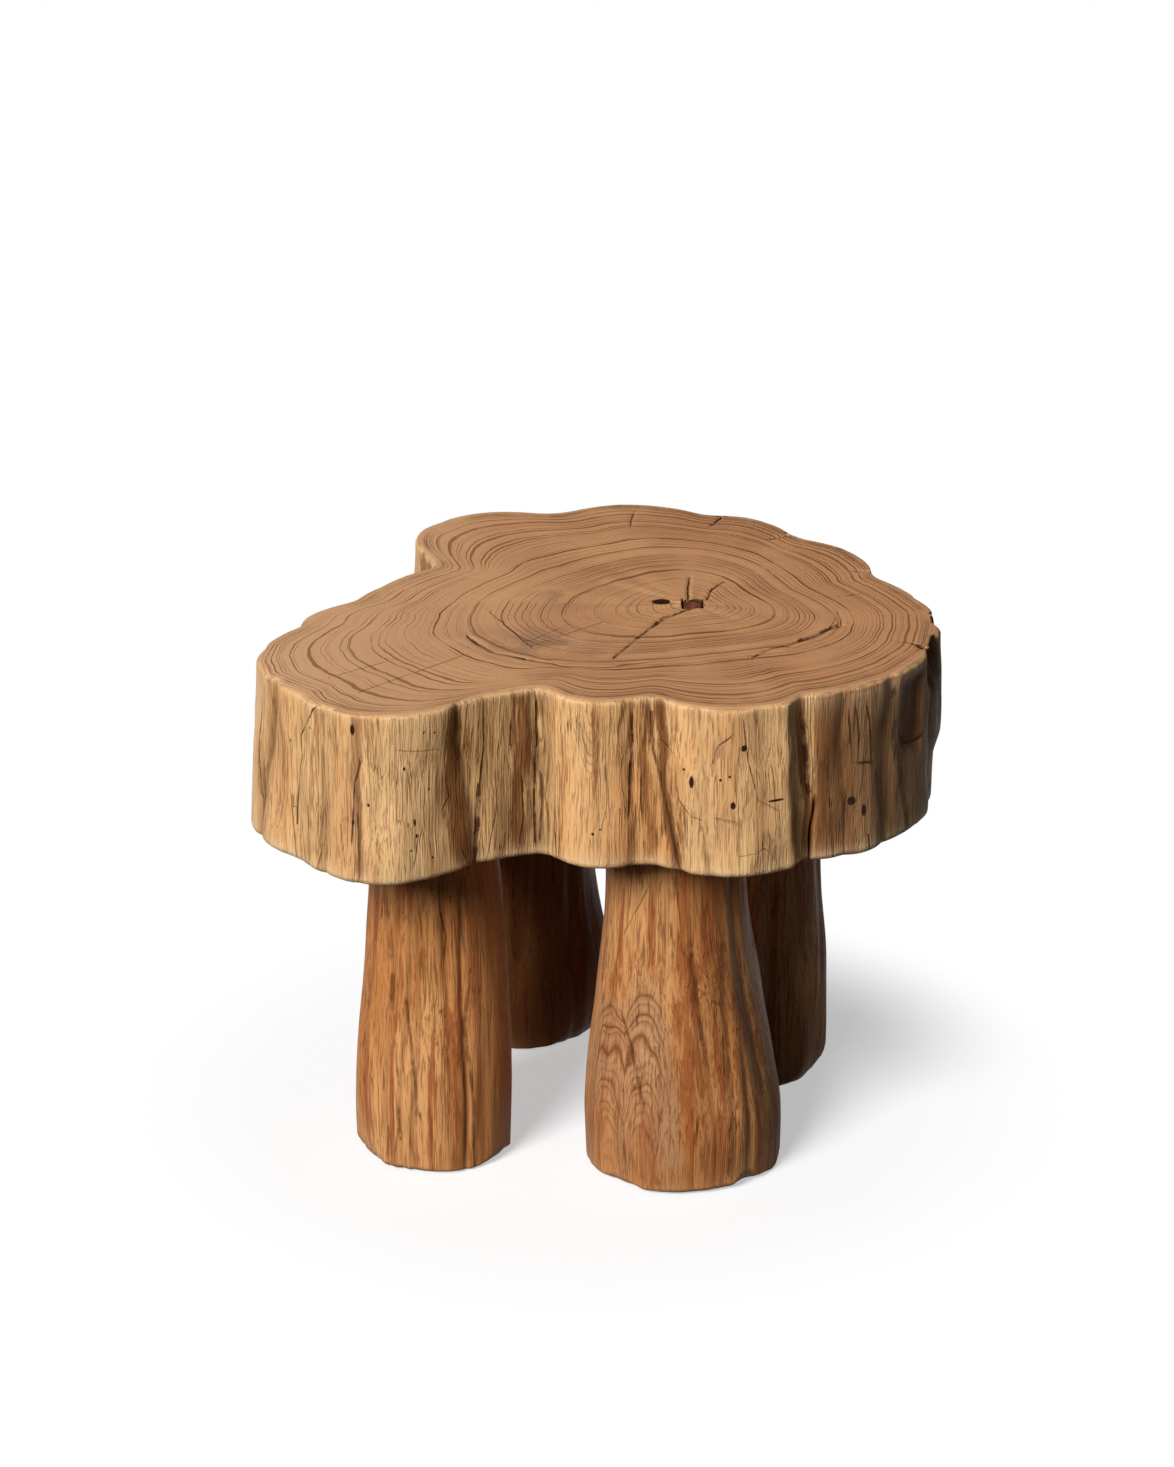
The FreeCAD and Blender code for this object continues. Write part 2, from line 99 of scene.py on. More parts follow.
def angle_of(way):
    """The angle of directions in plan, in radians from the right."""
    return np.arctan2(way[..., 1], way[..., 0])


def arc(centre, radius, start, end):
    """Points along a circle from one angle to another, about a millimetre apart, without the last."""
    angles = np.linspace(start, end, max(8, int(abs(end - start) * radius / MM)), endpoint=False)
    return centre + radius * np.stack([np.cos(angles), np.sin(angles)], axis=-1)


def trunk_outline():
    """The slab's outline in plan, as in the CAD part: each lobe's arc, then the arc in the valley after it.

    A valley's circle touches both lobes from outside, so its centre is where two circles about theirs cross.
    """
    half = np.array([slab_high.x - slab_low.x, slab_high.y - slab_low.y]) / 2
    circles = []
    for across, along, share, valley in LOBES:
        radius = share * half.mean()
        circles.append((np.array([across, along]) * (half - radius), radius, valley * MM))
    following = circles[1:] + circles[:1]
    hollows = []
    for (first, radius, valley), (second, other, _) in zip(circles, following):
        apart = np.hypot(*(second - first))
        way = (second - first) / apart
        foot = ((radius + valley) ** 2 - (other + valley) ** 2 + apart ** 2) / (2 * apart)
        rise = math.sqrt((radius + valley) ** 2 - foot ** 2)
        hollows.append(first + way * foot + np.array([way[1], -way[0]]) * rise)
    runs = []
    for k, (centre, radius, valley) in enumerate(circles):
        start = angle_of(hollows[k - 1] - centre)
        turn = (angle_of(hollows[k] - centre) - start) % (2 * math.pi)
        runs.append(arc(centre, radius, start, start + turn))
        start = angle_of(centre - hollows[k])
        turn = (start - angle_of(following[k][0] - hollows[k])) % (2 * math.pi)
        runs.append(arc(hollows[k], valley, start, start - turn))
    return np.concatenate(runs)


def along_loop(points, shares):
    """Points at the given shares of a closed loop's length, by straight interpolation between its corners."""
    closed = np.vstack([points, points[:1]])
    length = np.concatenate([[0], np.cumsum(np.hypot(*np.diff(closed, axis=0).T))])
    spots = shares * length[-1]
    return np.stack([np.interp(spots, length, closed[:, k]) for k in (0, 1)], axis=-1)


def soften(points, reach):
    """Points evenly spaced round a loop, blurred by a bell curve whose spread is a share of the loop."""
    waves = np.fft.rfftfreq(len(points), 1 / len(points))[:, None]
    bell = np.exp(-2 * (np.pi * waves * reach) ** 2)
    return np.fft.irfft(np.fft.rfft(points, axis=0) * bell, len(points), axis=0)


# The outline with softened lobes, its outward direction, how deep each place lies in a hollow (on a ridge if
# below nought), and its angle round the heart in degrees
LOOP_POINTS = 2400
even = np.arange(LOOP_POINTS) / LOOP_POINTS
loop = soften(along_loop(trunk_outline(), even), 0.003)
spread = np.hypot(*(loop - HEART).T)
calm = np.unwrap(angle_of(soften(loop, 0.012) - HEART))
loop = along_loop(HEART + spread[:, None] * np.stack([np.cos(calm), np.sin(calm)], axis=-1), even)
girth = np.hypot(*(np.roll(loop, -1, axis=0) - loop).T).sum()
along = soften(np.roll(loop, -1, axis=0) - np.roll(loop, 1, axis=0), 0.002)
along /= np.hypot(*along.T)[:, None]
outward = np.stack([along[:, 1], -along[:, 0]], axis=-1)
sunk = ((soften(loop, 0.03) - loop) * outward).sum(axis=1)
bearing = np.maximum.accumulate(np.degrees(np.unwrap(angle_of(loop - HEART))))

# Broad flutes of the trunk: angle at the rim, angle at the underside, depth and half width in millimetres
FLUTES = [
    (207.7, 204.1, 5, 7), (219.6, 218.2, 3.5, 6), (223.6, 223.3, 1.5, 4), (230.2, 230.9, 3, 8),
    (256.7, 256.9, 2, 4), (261.4, 265.7, 3.5, 7), (271, 272.5, 1.5, 7), (282.5, 283, 1.5, 8),
    (291.6, 293.9, 4, 8), (301, 302, 3, 7), (313, 312, 3, 8), (333, 334, 3, 8), (353.7, 351.8, 5, 8),
    (6, 8, 4, 7), (27.5, 25, 3, 9), (46, 47, 4, 8), (63.5, 65, 7, 9), (82, 81, 7, 9), (103.3, 105.3, 4, 8),
    (119, 117, 3, 8), (136.5, 138, 4, 6), (150, 149, 3, 8), (171, 173, 4, 8), (189, 188, 3, 8),
    (196.4, 196.4, 3.5, 7),
]

# Splits cut into the sides: the same four, then the lowest and highest share of height
SPLITS = [
    (294, 294.6, 9, 2, 0, 0.28),
    (64, 65, 10, 2.2, 0.25, 1),
    (82.3, 81, 10, 2.2, 0.35, 1),
    (27.3, 25, 8, 2, 0.2, 1),
    (136, 138, 7, 2, 0.3, 1),
    (172, 173, 6, 1.8, 0, 0.7),
    (353.5, 351.8, 6, 1.8, 0, 0.8),
    (103, 104, 5, 1.6, 0, 0.5),
]

# A ridge beside the middle lobe: angle at the rim and at the underside, height and half width in millimetres
RIDGE = (286.7, 288.7, 3, 6)

# Swells of the foot: angle, half width in degrees, height in millimetres
SWELLS = [(200, 9, 7), (306, 8, 6)]

# The right side's foot lies back: depth in millimetres, angles where that sets in and ends, and shares of
# height between which it fades out
UNDERCUT = 5
UNDERCUT_ANGLES = (328, 340, 352, 359)
UNDERCUT_HEIGHTS = (0.22, 0.42)

# A scoop, a gouge and a chip out of the right side: angle, half width in degrees, squareness, depth in
# millimetres, shares of height where each sets in and ends (over 1 is past the rim), painted shade in it,
# darkness
BITES = [
    (322, 4.6, 6, 7, (0.38, 0.60, 0.88, 1), 0.9, 0),
    (335, 5, 4, 11, (0.70, 0.98, 2, 3), 1, 0.75),
    (349, 3, 4, 7, (0.78, 1, 2, 3), 1, 0.6),
]


def closing(values, step=0.0):
    """Values round a loop with the first one again at the end, a step further on."""
    return np.append(values, values[0] + step)


def share_at(angle):
    """The share of the outline's length at an angle in degrees round the heart."""
    turned = bearing[0] + (np.asarray(angle) - bearing[0]) % 360
    return np.interp(turned, closing(bearing, 360), closing(even, 1.0))


def crowded(count, places, reach, closed):
    """Places from 0 to 1, closer together near the given ones.

    Their density is 1 plus a bell curve about each of those; it is summed and the sum inverted.
    """
    fine = np.linspace(0, 1, 20001)
    density = np.ones_like(fine)
    for spot in places:
        gap = np.abs(fine - spot)
        gap = np.minimum(gap, 1 - gap) if closed else gap
        density += 3.0 * np.exp(-((gap / reach) ** 2))
    total = np.concatenate([[0], np.cumsum((density[1:] + density[:-1]) / 2)])
    return np.interp(np.linspace(0, total[-1], count, endpoint=not closed), total, fine)


# Columns of points round the slab, closer together at the splits, with the outline's values at each
columns = crowded(SLAB_COLUMNS, [share_at((split[0] + split[1]) / 2) for split in SPLITS], 0.0035, True)
edge_x, edge_y, out_x, out_y, dip = [
    np.interp(columns, closing(even, 1.0), closing(values)) for values in (*loop.T, *outward.T, sunk)
]
edge = np.stack([edge_x, edge_y], axis=-1)
out = np.stack([out_x, out_y], axis=-1) / np.hypot(out_x, out_y)[:, None]
edge_angle = np.degrees(angle_of(edge - HEART)) % 360


def ease(low, high, value):
    """0 below low, 1 above high, and a smooth step between them."""
    t = np.clip((value - low) / (high - low), 0, 1)
    return t * t * (3 - 2 * t)


def hump(start, full, fade, end, value):
    """0 below start, 1 from full to fade, 0 above end, and smooth steps between them."""
    return ease(start, full, value) * (1 - ease(fade, end, value))


def drift(around, up, waves, levels, seed):
    """Smooth random field from -1 to 1: a lattice of random numbers, closed around and eased between."""
    lattice = np.random.default_rng(seed).uniform(-1, 1, (waves, levels + 1))
    x = (around % 1.0) * waves
    y = np.clip(up, 0, 1) * levels
    column = np.floor(x).astype(int) % waves
    row = np.minimum(np.floor(y).astype(int), levels - 1)
    across = ease(0, 1, x - np.floor(x))
    rise = ease(0, 1, y - row)
    after = (column + 1) % waves
    low = lattice[column, row] * (1 - across) + lattice[after, row] * across
    high = lattice[column, row + 1] * (1 - across) + lattice[after, row + 1] * across
    return low * (1 - rise) + high * rise


def nearest_way(share):
    """A share of the way round brought to between minus a half and a half."""
    return (share + 0.5) % 1.0 - 0.5


def off_line(top_angle, foot_angle, up, seed):
    """Distance along the outline from a wavering line up the side that leans from one angle to another."""
    middle = share_at(foot_angle) + nearest_way(share_at(top_angle) - share_at(foot_angle)) * up
    waver = 1.6 * MM * np.sin(7 * up + seed) + 0.8 * MM * np.sin(19 * up + 2 * seed)
    return nearest_way(columns - middle) * girth + waver


def side_form(up):
    """How far the side stands off the plain outline at shares of height, with its painted-shade and split
    masks.

    Out is three drifting fields, less each flute's peaked curve, each split's wedge, the undercut and the
    bites' blunt curves, plus the ridge and the foot's swells.
    """
    belly = 0.45 + 2.2 * up * (1 - up)
    stand = 3.0 * MM * drift(columns, up, 46, 2, 11) + 1.2 * MM * drift(columns, up, 120, 4, 12)
    stand = (stand + 0.4 * MM * drift(columns, up, 320, 5, 13)) * belly
    painted_shade = np.zeros_like(stand)
    split = np.zeros_like(stand)
    for k, (top_angle, foot_angle, depth, width) in enumerate(FLUTES):
        bell = np.exp(-(np.abs(off_line(top_angle, foot_angle, up, k) / (width * MM)) ** 1.5))
        stand = stand - depth * MM * bell
        painted_shade = np.maximum(painted_shade, bell * min(1.0, depth / 5))
    for k, (top_angle, foot_angle, depth, width, low, high) in enumerate(SPLITS):
        wedge = np.clip(1 - np.abs(off_line(top_angle, foot_angle, up, k + 40)) / (width * MM), 0, 1)
        wedge = wedge * hump(low - 0.12, low + 0.02, high - 0.02, high + 0.12, up)
        wedge = wedge * (0.65 + 0.35 * drift(0 * up, up, 3, 9, k + 70))
        stand = stand - depth * MM * wedge
        split = np.maximum(split, wedge)
    top_angle, foot_angle, height, width = RIDGE
    stand = stand + height * MM * np.exp(-((off_line(top_angle, foot_angle, up, 5) / (width * MM)) ** 2))
    for angle, width, height in SWELLS:
        stand = stand + height * MM * np.exp(-(((edge_angle - angle) / width) ** 2)) * (1 - up) ** 1.5
    stand = stand - UNDERCUT * MM * hump(*UNDERCUT_ANGLES, edge_angle) * (1 - ease(*UNDERCUT_HEIGHTS, up))
    for angle, width, squareness, depth, heights, hollowness, darkness in BITES:
        bite = np.exp(-(((edge_angle - angle) / width) ** squareness)) * hump(*heights, up)
        stand = stand - depth * MM * bite
        painted_shade = np.maximum(painted_shade, hollowness * bite)
        split = np.maximum(split, darkness * bite ** 2)
    return stand, painted_shade, split


# A ring shake at the right front, where the top has parted along a growth ring: share of the way out from the
# heart, angle and half width in degrees
SHAKE_SHARE = 0.58
SHAKE_ANGLE = 318
SHAKE_HALF = 26

# A small knot beside the heart: middle across and front to back, half sizes, all in millimetres
KNOT = (47.5, 5, 6, 5.2)
KNOT_DEPTH = 0.8 * MM

# Splits, scratches and the shake's edge on the top face: half width in millimetres, darkness, depth in
# millimetres, points in plan in millimetres
TOP_LINES = [
    (0.8, 0.9, 1.0, [(71, 63), (69, 34), (69, 7)]),
    (0.8, 0.85, 1.0, [(99, 55), (88, 34), (84, 11)]),
    (1.4, 0.95, 1.8, [(70, -10), (50, -30), (42, -46)]),
    (1.0, 0.75, 1.2, [(42, -46), (23, -89), (9, -121)]),
    (0.6, 0.7, 0.8, [(27, 222), (25, 205), (24, 190)]),
    (1.0, 0.8, 1.5, [(103, 217), (98, 206), (91, 190)]),
    (1.4, 0.9, 2.0, [(160, 171), (153, 166), (140, 156)]),
    (1.0, 0.8, 1.5, [(223, 74), (207, 77)]),
    (1.6, 0.9, 0.8, [(-103, -77), (-98, -88), (-84, -108), (-58, -124)]),
    (1.4, 0.6, 0.4, [(-58, -124), (-29, -139), (5, -141), (34, -130)]),
    (2.2, 1.0, 1.6, [(143, -95), (157, -80), (173, -62), (188, -47)]),
    (1.3, 0.9, 0.8, [(115, -121), (123, -110), (133, -100), (143, -95)]),
    (0.6, 0.5, 0.3, [(188, -47), (188, -32), (186, -17)]),
    (0.7, 0.5, 0.2, [(115, -121), (101, -123), (85, -128), (68, -132), (44, -136)]),
    (0.6, 0.7, 0.3, [(195, 20), (203, 23)]),
    (0.5, 0.6, 0.0, [(231, -86), (240, -88)]),
    (2.0, 1.0, 0.6, [(240, -88), (245, -93), (251, -104)]),
    (0.9, 0.4, 0.0, [(-182, -193), (-146, -156), (-106, -115)]),
    (0.8, 0.35, 0.0, [(-202, -159), (-158, -124)]),
    (0.9, 0.5, 0.0, [(-88, -20), (-54, -98)]),
    (0.8, 0.4, 0.0, [(-54, -95), (0, -43)]),
    (0.7, 0.35, 0.0, [(-59, -86), (-16, -39)]),
]
TOP_LINE_REACH = 3 * MM


def off_run(x, y, first, second):
    """Distance of points from a run between two places in millimetres, and a sign for the side of it."""
    run = (np.array(second) - first) * MM
    x, y = x - first[0] * MM, y - first[1] * MM
    share = np.clip((x * run[0] + y * run[1]) / (run @ run), 0, 1)
    return np.hypot(x - share * run[0], y - share * run[1]), np.sign(x * run[1] - y * run[0])


# Top face: rows follow the growth rings, round near the heart and lobed near the rim
rim_reach = RIM_REACH * (1 + 0.25 * drift(columns, 0 * columns, 60, 1, 21))
shoulder = edge - out * rim_reach[:, None] - HEART
reach = np.hypot(*shoulder.T)
turn = np.unwrap(angle_of(shoulder))
even_turn = turn[0] + np.linspace(0, 2 * np.pi, SLAB_COLUMNS, endpoint=False)
tones = np.fft.rfft(np.interp(even_turn, closing(turn, 2 * np.pi), closing(reach)))
tones[4:] = 0
even_reach = np.fft.irfft(tones, SLAB_COLUMNS)
round_reach = np.interp(turn, closing(even_turn, 2 * np.pi), closing(even_reach))

share = crowded(TOP_ROWS, [0.035, 0.085, SHAKE_SHARE], 0.022, False)[1:-1, None]
lobed = ease(0.5, 1.0, share)
radius = share * ((1 - lobed) * round_reach + lobed * reach)
top_x = HEART[0] + radius * np.cos(turn)
top_y = HEART[1] + radius * np.sin(turn)


def off_spot(x, y, half_x, half_y):
    """Distance of the top's points from a spot in plan, in half sizes; all four are given in millimetres."""
    return np.hypot((top_x - x * MM) / (half_x * MM), (top_y - y * MM) / (half_y * MM))


shake_line = SHAKE_SHARE + 0.012 * drift(columns, 0 * columns, 24, 1, 31)
past_shake = (share - shake_line) * round_reach
shaken = np.exp(-(((np.degrees(turn) % 360 - SHAKE_ANGLE) / SHAKE_HALF) ** 4))
lifted = np.where(past_shake < 0, np.exp(past_shake / (14 * MM)), 0) * shaken
dropped = np.where(past_shake >= 0, np.exp(-past_shake / (20 * MM)), 0) * shaken

well_x, well_y = PLUG_HALF + WELL_GAP
off_well = np.maximum(np.abs(top_x - HEART[0]) / well_x, np.abs(top_y - HEART[1]) / well_y)
off_knot = off_spot(*KNOT)
top_split = np.maximum(1 - ease(1.0, 1.12, off_well), 1 - ease(0.9, 1.4, off_knot))
top_z = TOP + 0.5 * MM * drift(columns, share, 30, 6, 41) + 0.4 * MM * lifted - 1.0 * MM * dropped
top_z = top_z - WELL_DEPTH * (1 - ease(0.92, 1.0, off_well)) - KNOT_DEPTH * (1 - ease(0.7, 1.25, off_knot))
for _, _, depth, points in TOP_LINES:
    away = np.min([off_run(top_x, top_y, *run)[0] for run in zip(points[:-1], points[1:])], axis=0)
    top_z = top_z - depth * MM * np.clip(1 - away / TOP_LINE_REACH, 0, 1)
top_rows = np.stack([top_x, top_y, top_z], axis=-1)


def beyond_edge(off, z):
    """Rows of points that stand off the outline by a distance, at a height."""
    x = edge[:, 0] + out[:, 0] * off
    y = edge[:, 1] + out[:, 1] * off
    return np.stack(np.broadcast_arrays(x, y, z), axis=-1)


# Rim: an arc that falls away from the top face and meets the side at a soft corner
at_rim = np.ones((RIM_ROWS, 1))
bend = (np.linspace(0, 1, RIM_ROWS) * RIM_TURN)[:, None]
rim_out = np.sin(bend) / math.sin(RIM_TURN)
rim_drop = RIM_DROP * (1 - np.cos(bend)) / (1 - math.cos(RIM_TURN))
rim_stand, rim_hollow, rim_split = side_form(at_rim)
rim_z = TOP + 0.5 * MM * drift(columns, at_rim, 30, 6, 41) * (1 - rim_out) - rim_drop
rim_rows = beyond_edge(rim_stand * rim_out - rim_reach * (1 - rim_out), rim_z)

# Side: upright, fluted and split, from the rim down to the lower rim
wall_up = np.linspace(1, 0, WALL_ROWS)[1:, None]
wall_stand, wall_hollow, wall_split = side_form(wall_up)
wall_foot = UNDERSIDE + LOWER_RIM
wall_rows = beyond_edge(wall_stand, wall_foot + wall_up * (TOP - RIM_DROP - wall_foot))

# Lower rim and underside: a small arc, then flat to the middle
at_foot = np.zeros((FOOT_ROWS, 1))
curl = np.linspace(0, 1, FOOT_ROWS + 1)[1:, None] * math.pi / 2
foot_stand, foot_hollow, foot_split = side_form(at_foot)
foot_off = foot_stand - LOWER_RIM * (1 - np.cos(curl))
foot_rows = beyond_edge(foot_off, UNDERSIDE + LOWER_RIM * (1 - np.sin(curl)))
inward = np.linspace(1, 0.05, UNDER_ROWS + 1)[1:, None]
under_middle = np.array([*HEART, UNDERSIDE])
under_rows = under_middle + inward[..., None] * (foot_rows[-1] - under_middle)

SLAB_ZONES = [top_rows, rim_rows, wall_rows, foot_rows, under_rows]


def over(zones, *values):
    """One measure over a whole piece, from a number or an array for each zone of its rows."""
    return np.concatenate([np.broadcast_to(value, rows.shape[:2]) for value, rows in zip(values, zones)])


# Brown stains down the sides: angle at the rim, angle at the underside, half width in millimetres, lowest and
# highest share of height, strength
STAINS = [
    (202.7, 200.8, 3, 0, 1, 0.5),
    (210.1, 209, 5, 0.5, 0.9, 0.45),
    (217.6, 215.4, 8, 0, 1, 0.65),
    (223.6, 223.4, 6, 0, 1, 0.75),
    (230, 230.2, 12, 0, 0.95, 1),
    (234.8, 234.6, 9, 0, 1, 0.9),
    (243, 242.5, 4, 0, 0.7, 0.5),
    (250, 250, 9, 0.45, 0.95, 0.45),
    (256.8, 257, 3, 0.2, 1, 0.7),
    (259.1, 260.2, 6, 0, 1, 0.75),
    (261.6, 265.2, 5, 0, 1, 1),
    (267.6, 267.2, 7, 0, 0.3, 0.6),
    (273, 273, 7, 0.65, 0.95, 0.5),
    (283, 284.5, 10, 0, 0.22, 0.6),
    (291.3, 293.9, 5, 0, 1, 1),
    (298.2, 298.6, 11, 0, 1, 0.7),
    (305.6, 305.6, 7, 0, 0.4, 0.85),
    (303, 303, 3, 0.5, 1, 0.8),
    (313, 312, 6, 0, 1, 0.8),
    (322, 322, 9, 0.5, 1, 0.9),
    (334, 334, 12, 0, 1, 0.8),
    (8, 9, 6, 0, 1, 0.7),
    (46, 47, 8, 0, 1, 0.6),
    (64, 65, 9, 0, 1, 0.8),
    (82, 81, 9, 0, 1, 0.8),
    (120, 118, 14, 0, 1, 0.7),
    (152, 151, 22, 0, 1, 0.7),
    (172, 173, 8, 0, 1, 0.7),
]

# Where the sides are browner, darker or paler, as angles where that sets in and ends: the right side, browner
# partly from darker wood and partly from painted shade, and its darkest part, painted shade; the left edge,
# painted light; and the bevelled rim right of the middle lobe, rubbed paler
SHADED_RIGHT_SIDE = (289, 297, 350, 359)
DARKEST_SHADE_SIDE = (305, 320, 350, 359)
LIT_LEFT_EDGE = (188, 194, 203, 208)
BEVEL = (286, 292, 326, 334)

# Grey smudges rubbed into the top: middle across and front to back, half sizes in millimetres, strength
SMUDGES = [
    (-46, -88, 50, 34, 0.8),
    (-30, 20, 18, 26, 0.8),
    (120, -60, 40, 22, 0.4),
]

# Fine cracks and scratches in the sides: half width, darkness, then points as the way round from the back and
# the height above the floor, all in millimetres
CRACKS = [
    (0.8, 1.0, [(707, 425), (694, 406), (686, 396), (689, 380), (679, 341), (678, 322)]),
    (0.7, 0.7, [(671, 341), (677, 290)]),
    (0.6, 0.6, [(686, 326), (690, 290)]),
    (0.6, 0.9, [(750, 391), (746, 373), (742, 325)]),
    (0.6, 0.7, [(748, 346), (748, 296)]),
    (0.6, 0.6, [(714, 320), (706, 293)]),
    (0.7, 1.0, [(856, 425), (856, 389), (853, 351)]),
    (1.6, 1.0, [(853, 355), (851, 313), (848, 290)]),
    (2.6, 0.6, [(832, 419), (832, 395), (836, 383)]),
    (0.6, 0.8, [(822, 412), (820, 384), (825, 354), (818, 345)]),
    (0.8, 0.8, [(835, 307), (844, 290)]),
    (0.7, 0.9, [(879, 400), (878, 385)]),
    (0.7, 0.9, [(888, 354), (889, 323), (885, 295)]),
    (0.8, 1.0, [(899, 422), (899, 382), (897, 344), (898, 302)]),
    (0.6, 0.8, [(902, 358), (903, 338), (901, 305)]),
    (0.6, 0.8, [(907, 334), (908, 314)]),
    (0.6, 0.9, [(915, 312), (917, 291)]),
    (0.5, 0.6, [(867, 352), (866, 333), (858, 290)]),
    (0.4, 0.4, [(782, 400), (813, 396)]),
    (0.9, 1.0, [(982, 416), (983, 393), (980, 333)]),
    (0.6, 0.7, [(989, 363), (989, 337)]),
    (1.0, 0.8, [(996, 417), (997, 389), (1009, 344), (1019, 297)]),
    (0.6, 0.6, [(1005, 394), (1018, 387), (1023, 354), (1033, 339), (1038, 339)]),
    (0.6, 0.7, [(1072, 419), (1076, 387), (1084, 354), (1099, 344)]),
    (0.7, 0.6, [(1062, 407), (1053, 399), (1049, 386)]),
    (0.5, 0.5, [(1073, 309), (1083, 310), (1090, 314), (1099, 303)]),
    (1.7, 1.0, [(1127, 413), (1130, 389), (1134, 347)]),
    (1.4, 0.4, [(1054, 339), (1067, 336)]),
    (1.0, 0.9, [(1175, 366), (1188, 363)]),
    (3.0, 0.8, [(1214, 414), (1216, 371), (1221, 349)]),
    (0.8, 0.8, [(1172, 410), (1176, 388), (1175, 370)]),
    (0.9, 0.8, [(1182, 411), (1187, 382), (1188, 364)]),
    (0.9, 0.9, [(1184, 304), (1185, 290)]),
    (1.2, 0.5, [(1149, 368), (1152, 328), (1154, 290)]),
    (0.9, 0.7, [(1166, 408), (1169, 383)]),
    (1.5, 0.6, [(1194, 353), (1197, 329), (1199, 311)]),
    (1.0, 0.5, [(1165, 337), (1164, 296)]),
    (1.2, 1.0, [(1227, 374), (1236, 365), (1255, 361), (1262, 365)]),
    (3.0, 0.75, [(1224, 348), (1230, 320), (1234, 293)]),
]

# More of them down the sides and back, at seeded random places
chance = np.random.default_rng(77)
for way in np.concatenate([np.arange(20, 640, 42), np.arange(1300, 1680, 42)]):
    start, lean = chance.uniform(330, 425), chance.uniform(-4, 4)
    half_width, darkness = chance.uniform(0.5, 0.9), chance.uniform(0.6, 1.0)
    end = max(292, start - chance.uniform(25, 80))
    CRACKS.append((half_width, darkness, [(way + 10 * lean, start), (way + 11 * lean, end)]))


def stain_and_shade_on(up):
    """How brown the side is at shares of height: the strongest stain's bell curve, or the right side's wood
    and painted shade.
    """
    brown = 0.95 * hump(*SHADED_RIGHT_SIDE, edge_angle) + 0 * up
    for k, (top_angle, foot_angle, width, low, high, strength) in enumerate(STAINS):
        bell = strength * np.exp(-((off_line(top_angle, foot_angle, up, k + 20) / (width * MM)) ** 2))
        brown = np.maximum(brown, bell * hump(low - 0.2, low + 0.05, high - 0.05, high + 0.2, up))
    return brown


def beside(lines, way, height, reach):
    """Where points lie beside the nearest line on an unrolled side: half widths off it, and its darkness.

    The distance from the nearest run has a sign for its side of the line, so that it goes evenly through
    nought there; the darkness fades out at the given reach.
    """
    best = np.full(np.shape(way), 1.0)
    off = np.full(np.shape(way), 10.0)
    dark = np.zeros(np.shape(way))
    for half_width, darkness, points in lines:
        for run in zip(points[:-1], points[1:]):
            away, sign = off_run(way, height, *run)
            closer = away < best
            best = np.where(closer, away, best)
            off = np.where(closer, sign * away / (half_width * MM), off)
            dark = np.where(closer, darkness, dark)
    return np.clip(off, -10, 10), dark * (1 - ease(reach / 2, reach, best))


# Measures for the wood: stains with the right side's painted shade, way round the trunk from its back, growth
# ring and how close rings lie, how much it is side rather than end grain, painted shade in hollows and on the
# right side, wear with painted light, splits, and the two sets of drawn lines
smudged = np.max([strength * np.exp(-(off_spot(*spot) ** 2)) for *spot, strength in SMUDGES], axis=0)
stain_and_shade = over(SLAB_ZONES, smudged, stain_and_shade_on(at_rim) * rim_out, stain_and_shade_on(wall_up), stain_and_shade_on(at_foot), 0)
way_round = np.broadcast_to((columns - share_at(90)) % 1.0 * girth, stain_and_shade.shape)
ring = over(
    SLAB_ZONES,
    RING_SPAN * share,
    RING_SPAN + (rim_reach + 2.0 * rim_stand) * rim_out,
    RING_SPAN + rim_reach + 2.0 * wall_stand,
    RING_SPAN + rim_reach + 2.0 * foot_stand,
    RING_SPAN * inward,
)
tight = over(SLAB_ZONES, RING_SPAN * share / radius * (1 + np.sin(turn) ** 2), 1, 1, 1, 1)
side = over(SLAB_ZONES, 0, ease(0.35, 1.0, rim_out), 1, 1, 0)
# Painted shade: deep in the valleys between lobes and over the right side, joined to the flutes' and bites'
# painted shade
valley = ease(2 * MM, 14 * MM, dip)
shaded = 0.6 * hump(*SHADED_RIGHT_SIDE, edge_angle) + 0.3 * hump(*DARKEST_SHADE_SIDE, edge_angle)
shaded = np.maximum(valley, shaded)
painted_shade = over(
    SLAB_ZONES,
    0,
    np.maximum(rim_hollow, valley) * rim_out ** 2,
    np.maximum(wall_hollow, shaded),
    np.maximum(foot_hollow, shaded),
    0.5,
)
# Wear with painted highlight on the ridges, and painted light on the left edge, which faces the lamp
ridges_and_lit_edge = ease(1 * MM, 8 * MM, -dip) + 1.9 * hump(*LIT_LEFT_EDGE, edge_angle)
bevel = 0.75 * hump(*BEVEL, edge_angle)
# Rim and bevel rubbed paler, with painted highlight; a painted highlight on the bead at the foot, which faces
# down
rim_wear_and_highlight = 0.15 * np.exp(-(1 - wall_up) / 0.03) + bevel * np.exp(-(1 - wall_up) / 0.07)
painted_foot_highlight = 0.9 * np.exp(-wall_up / 0.03)
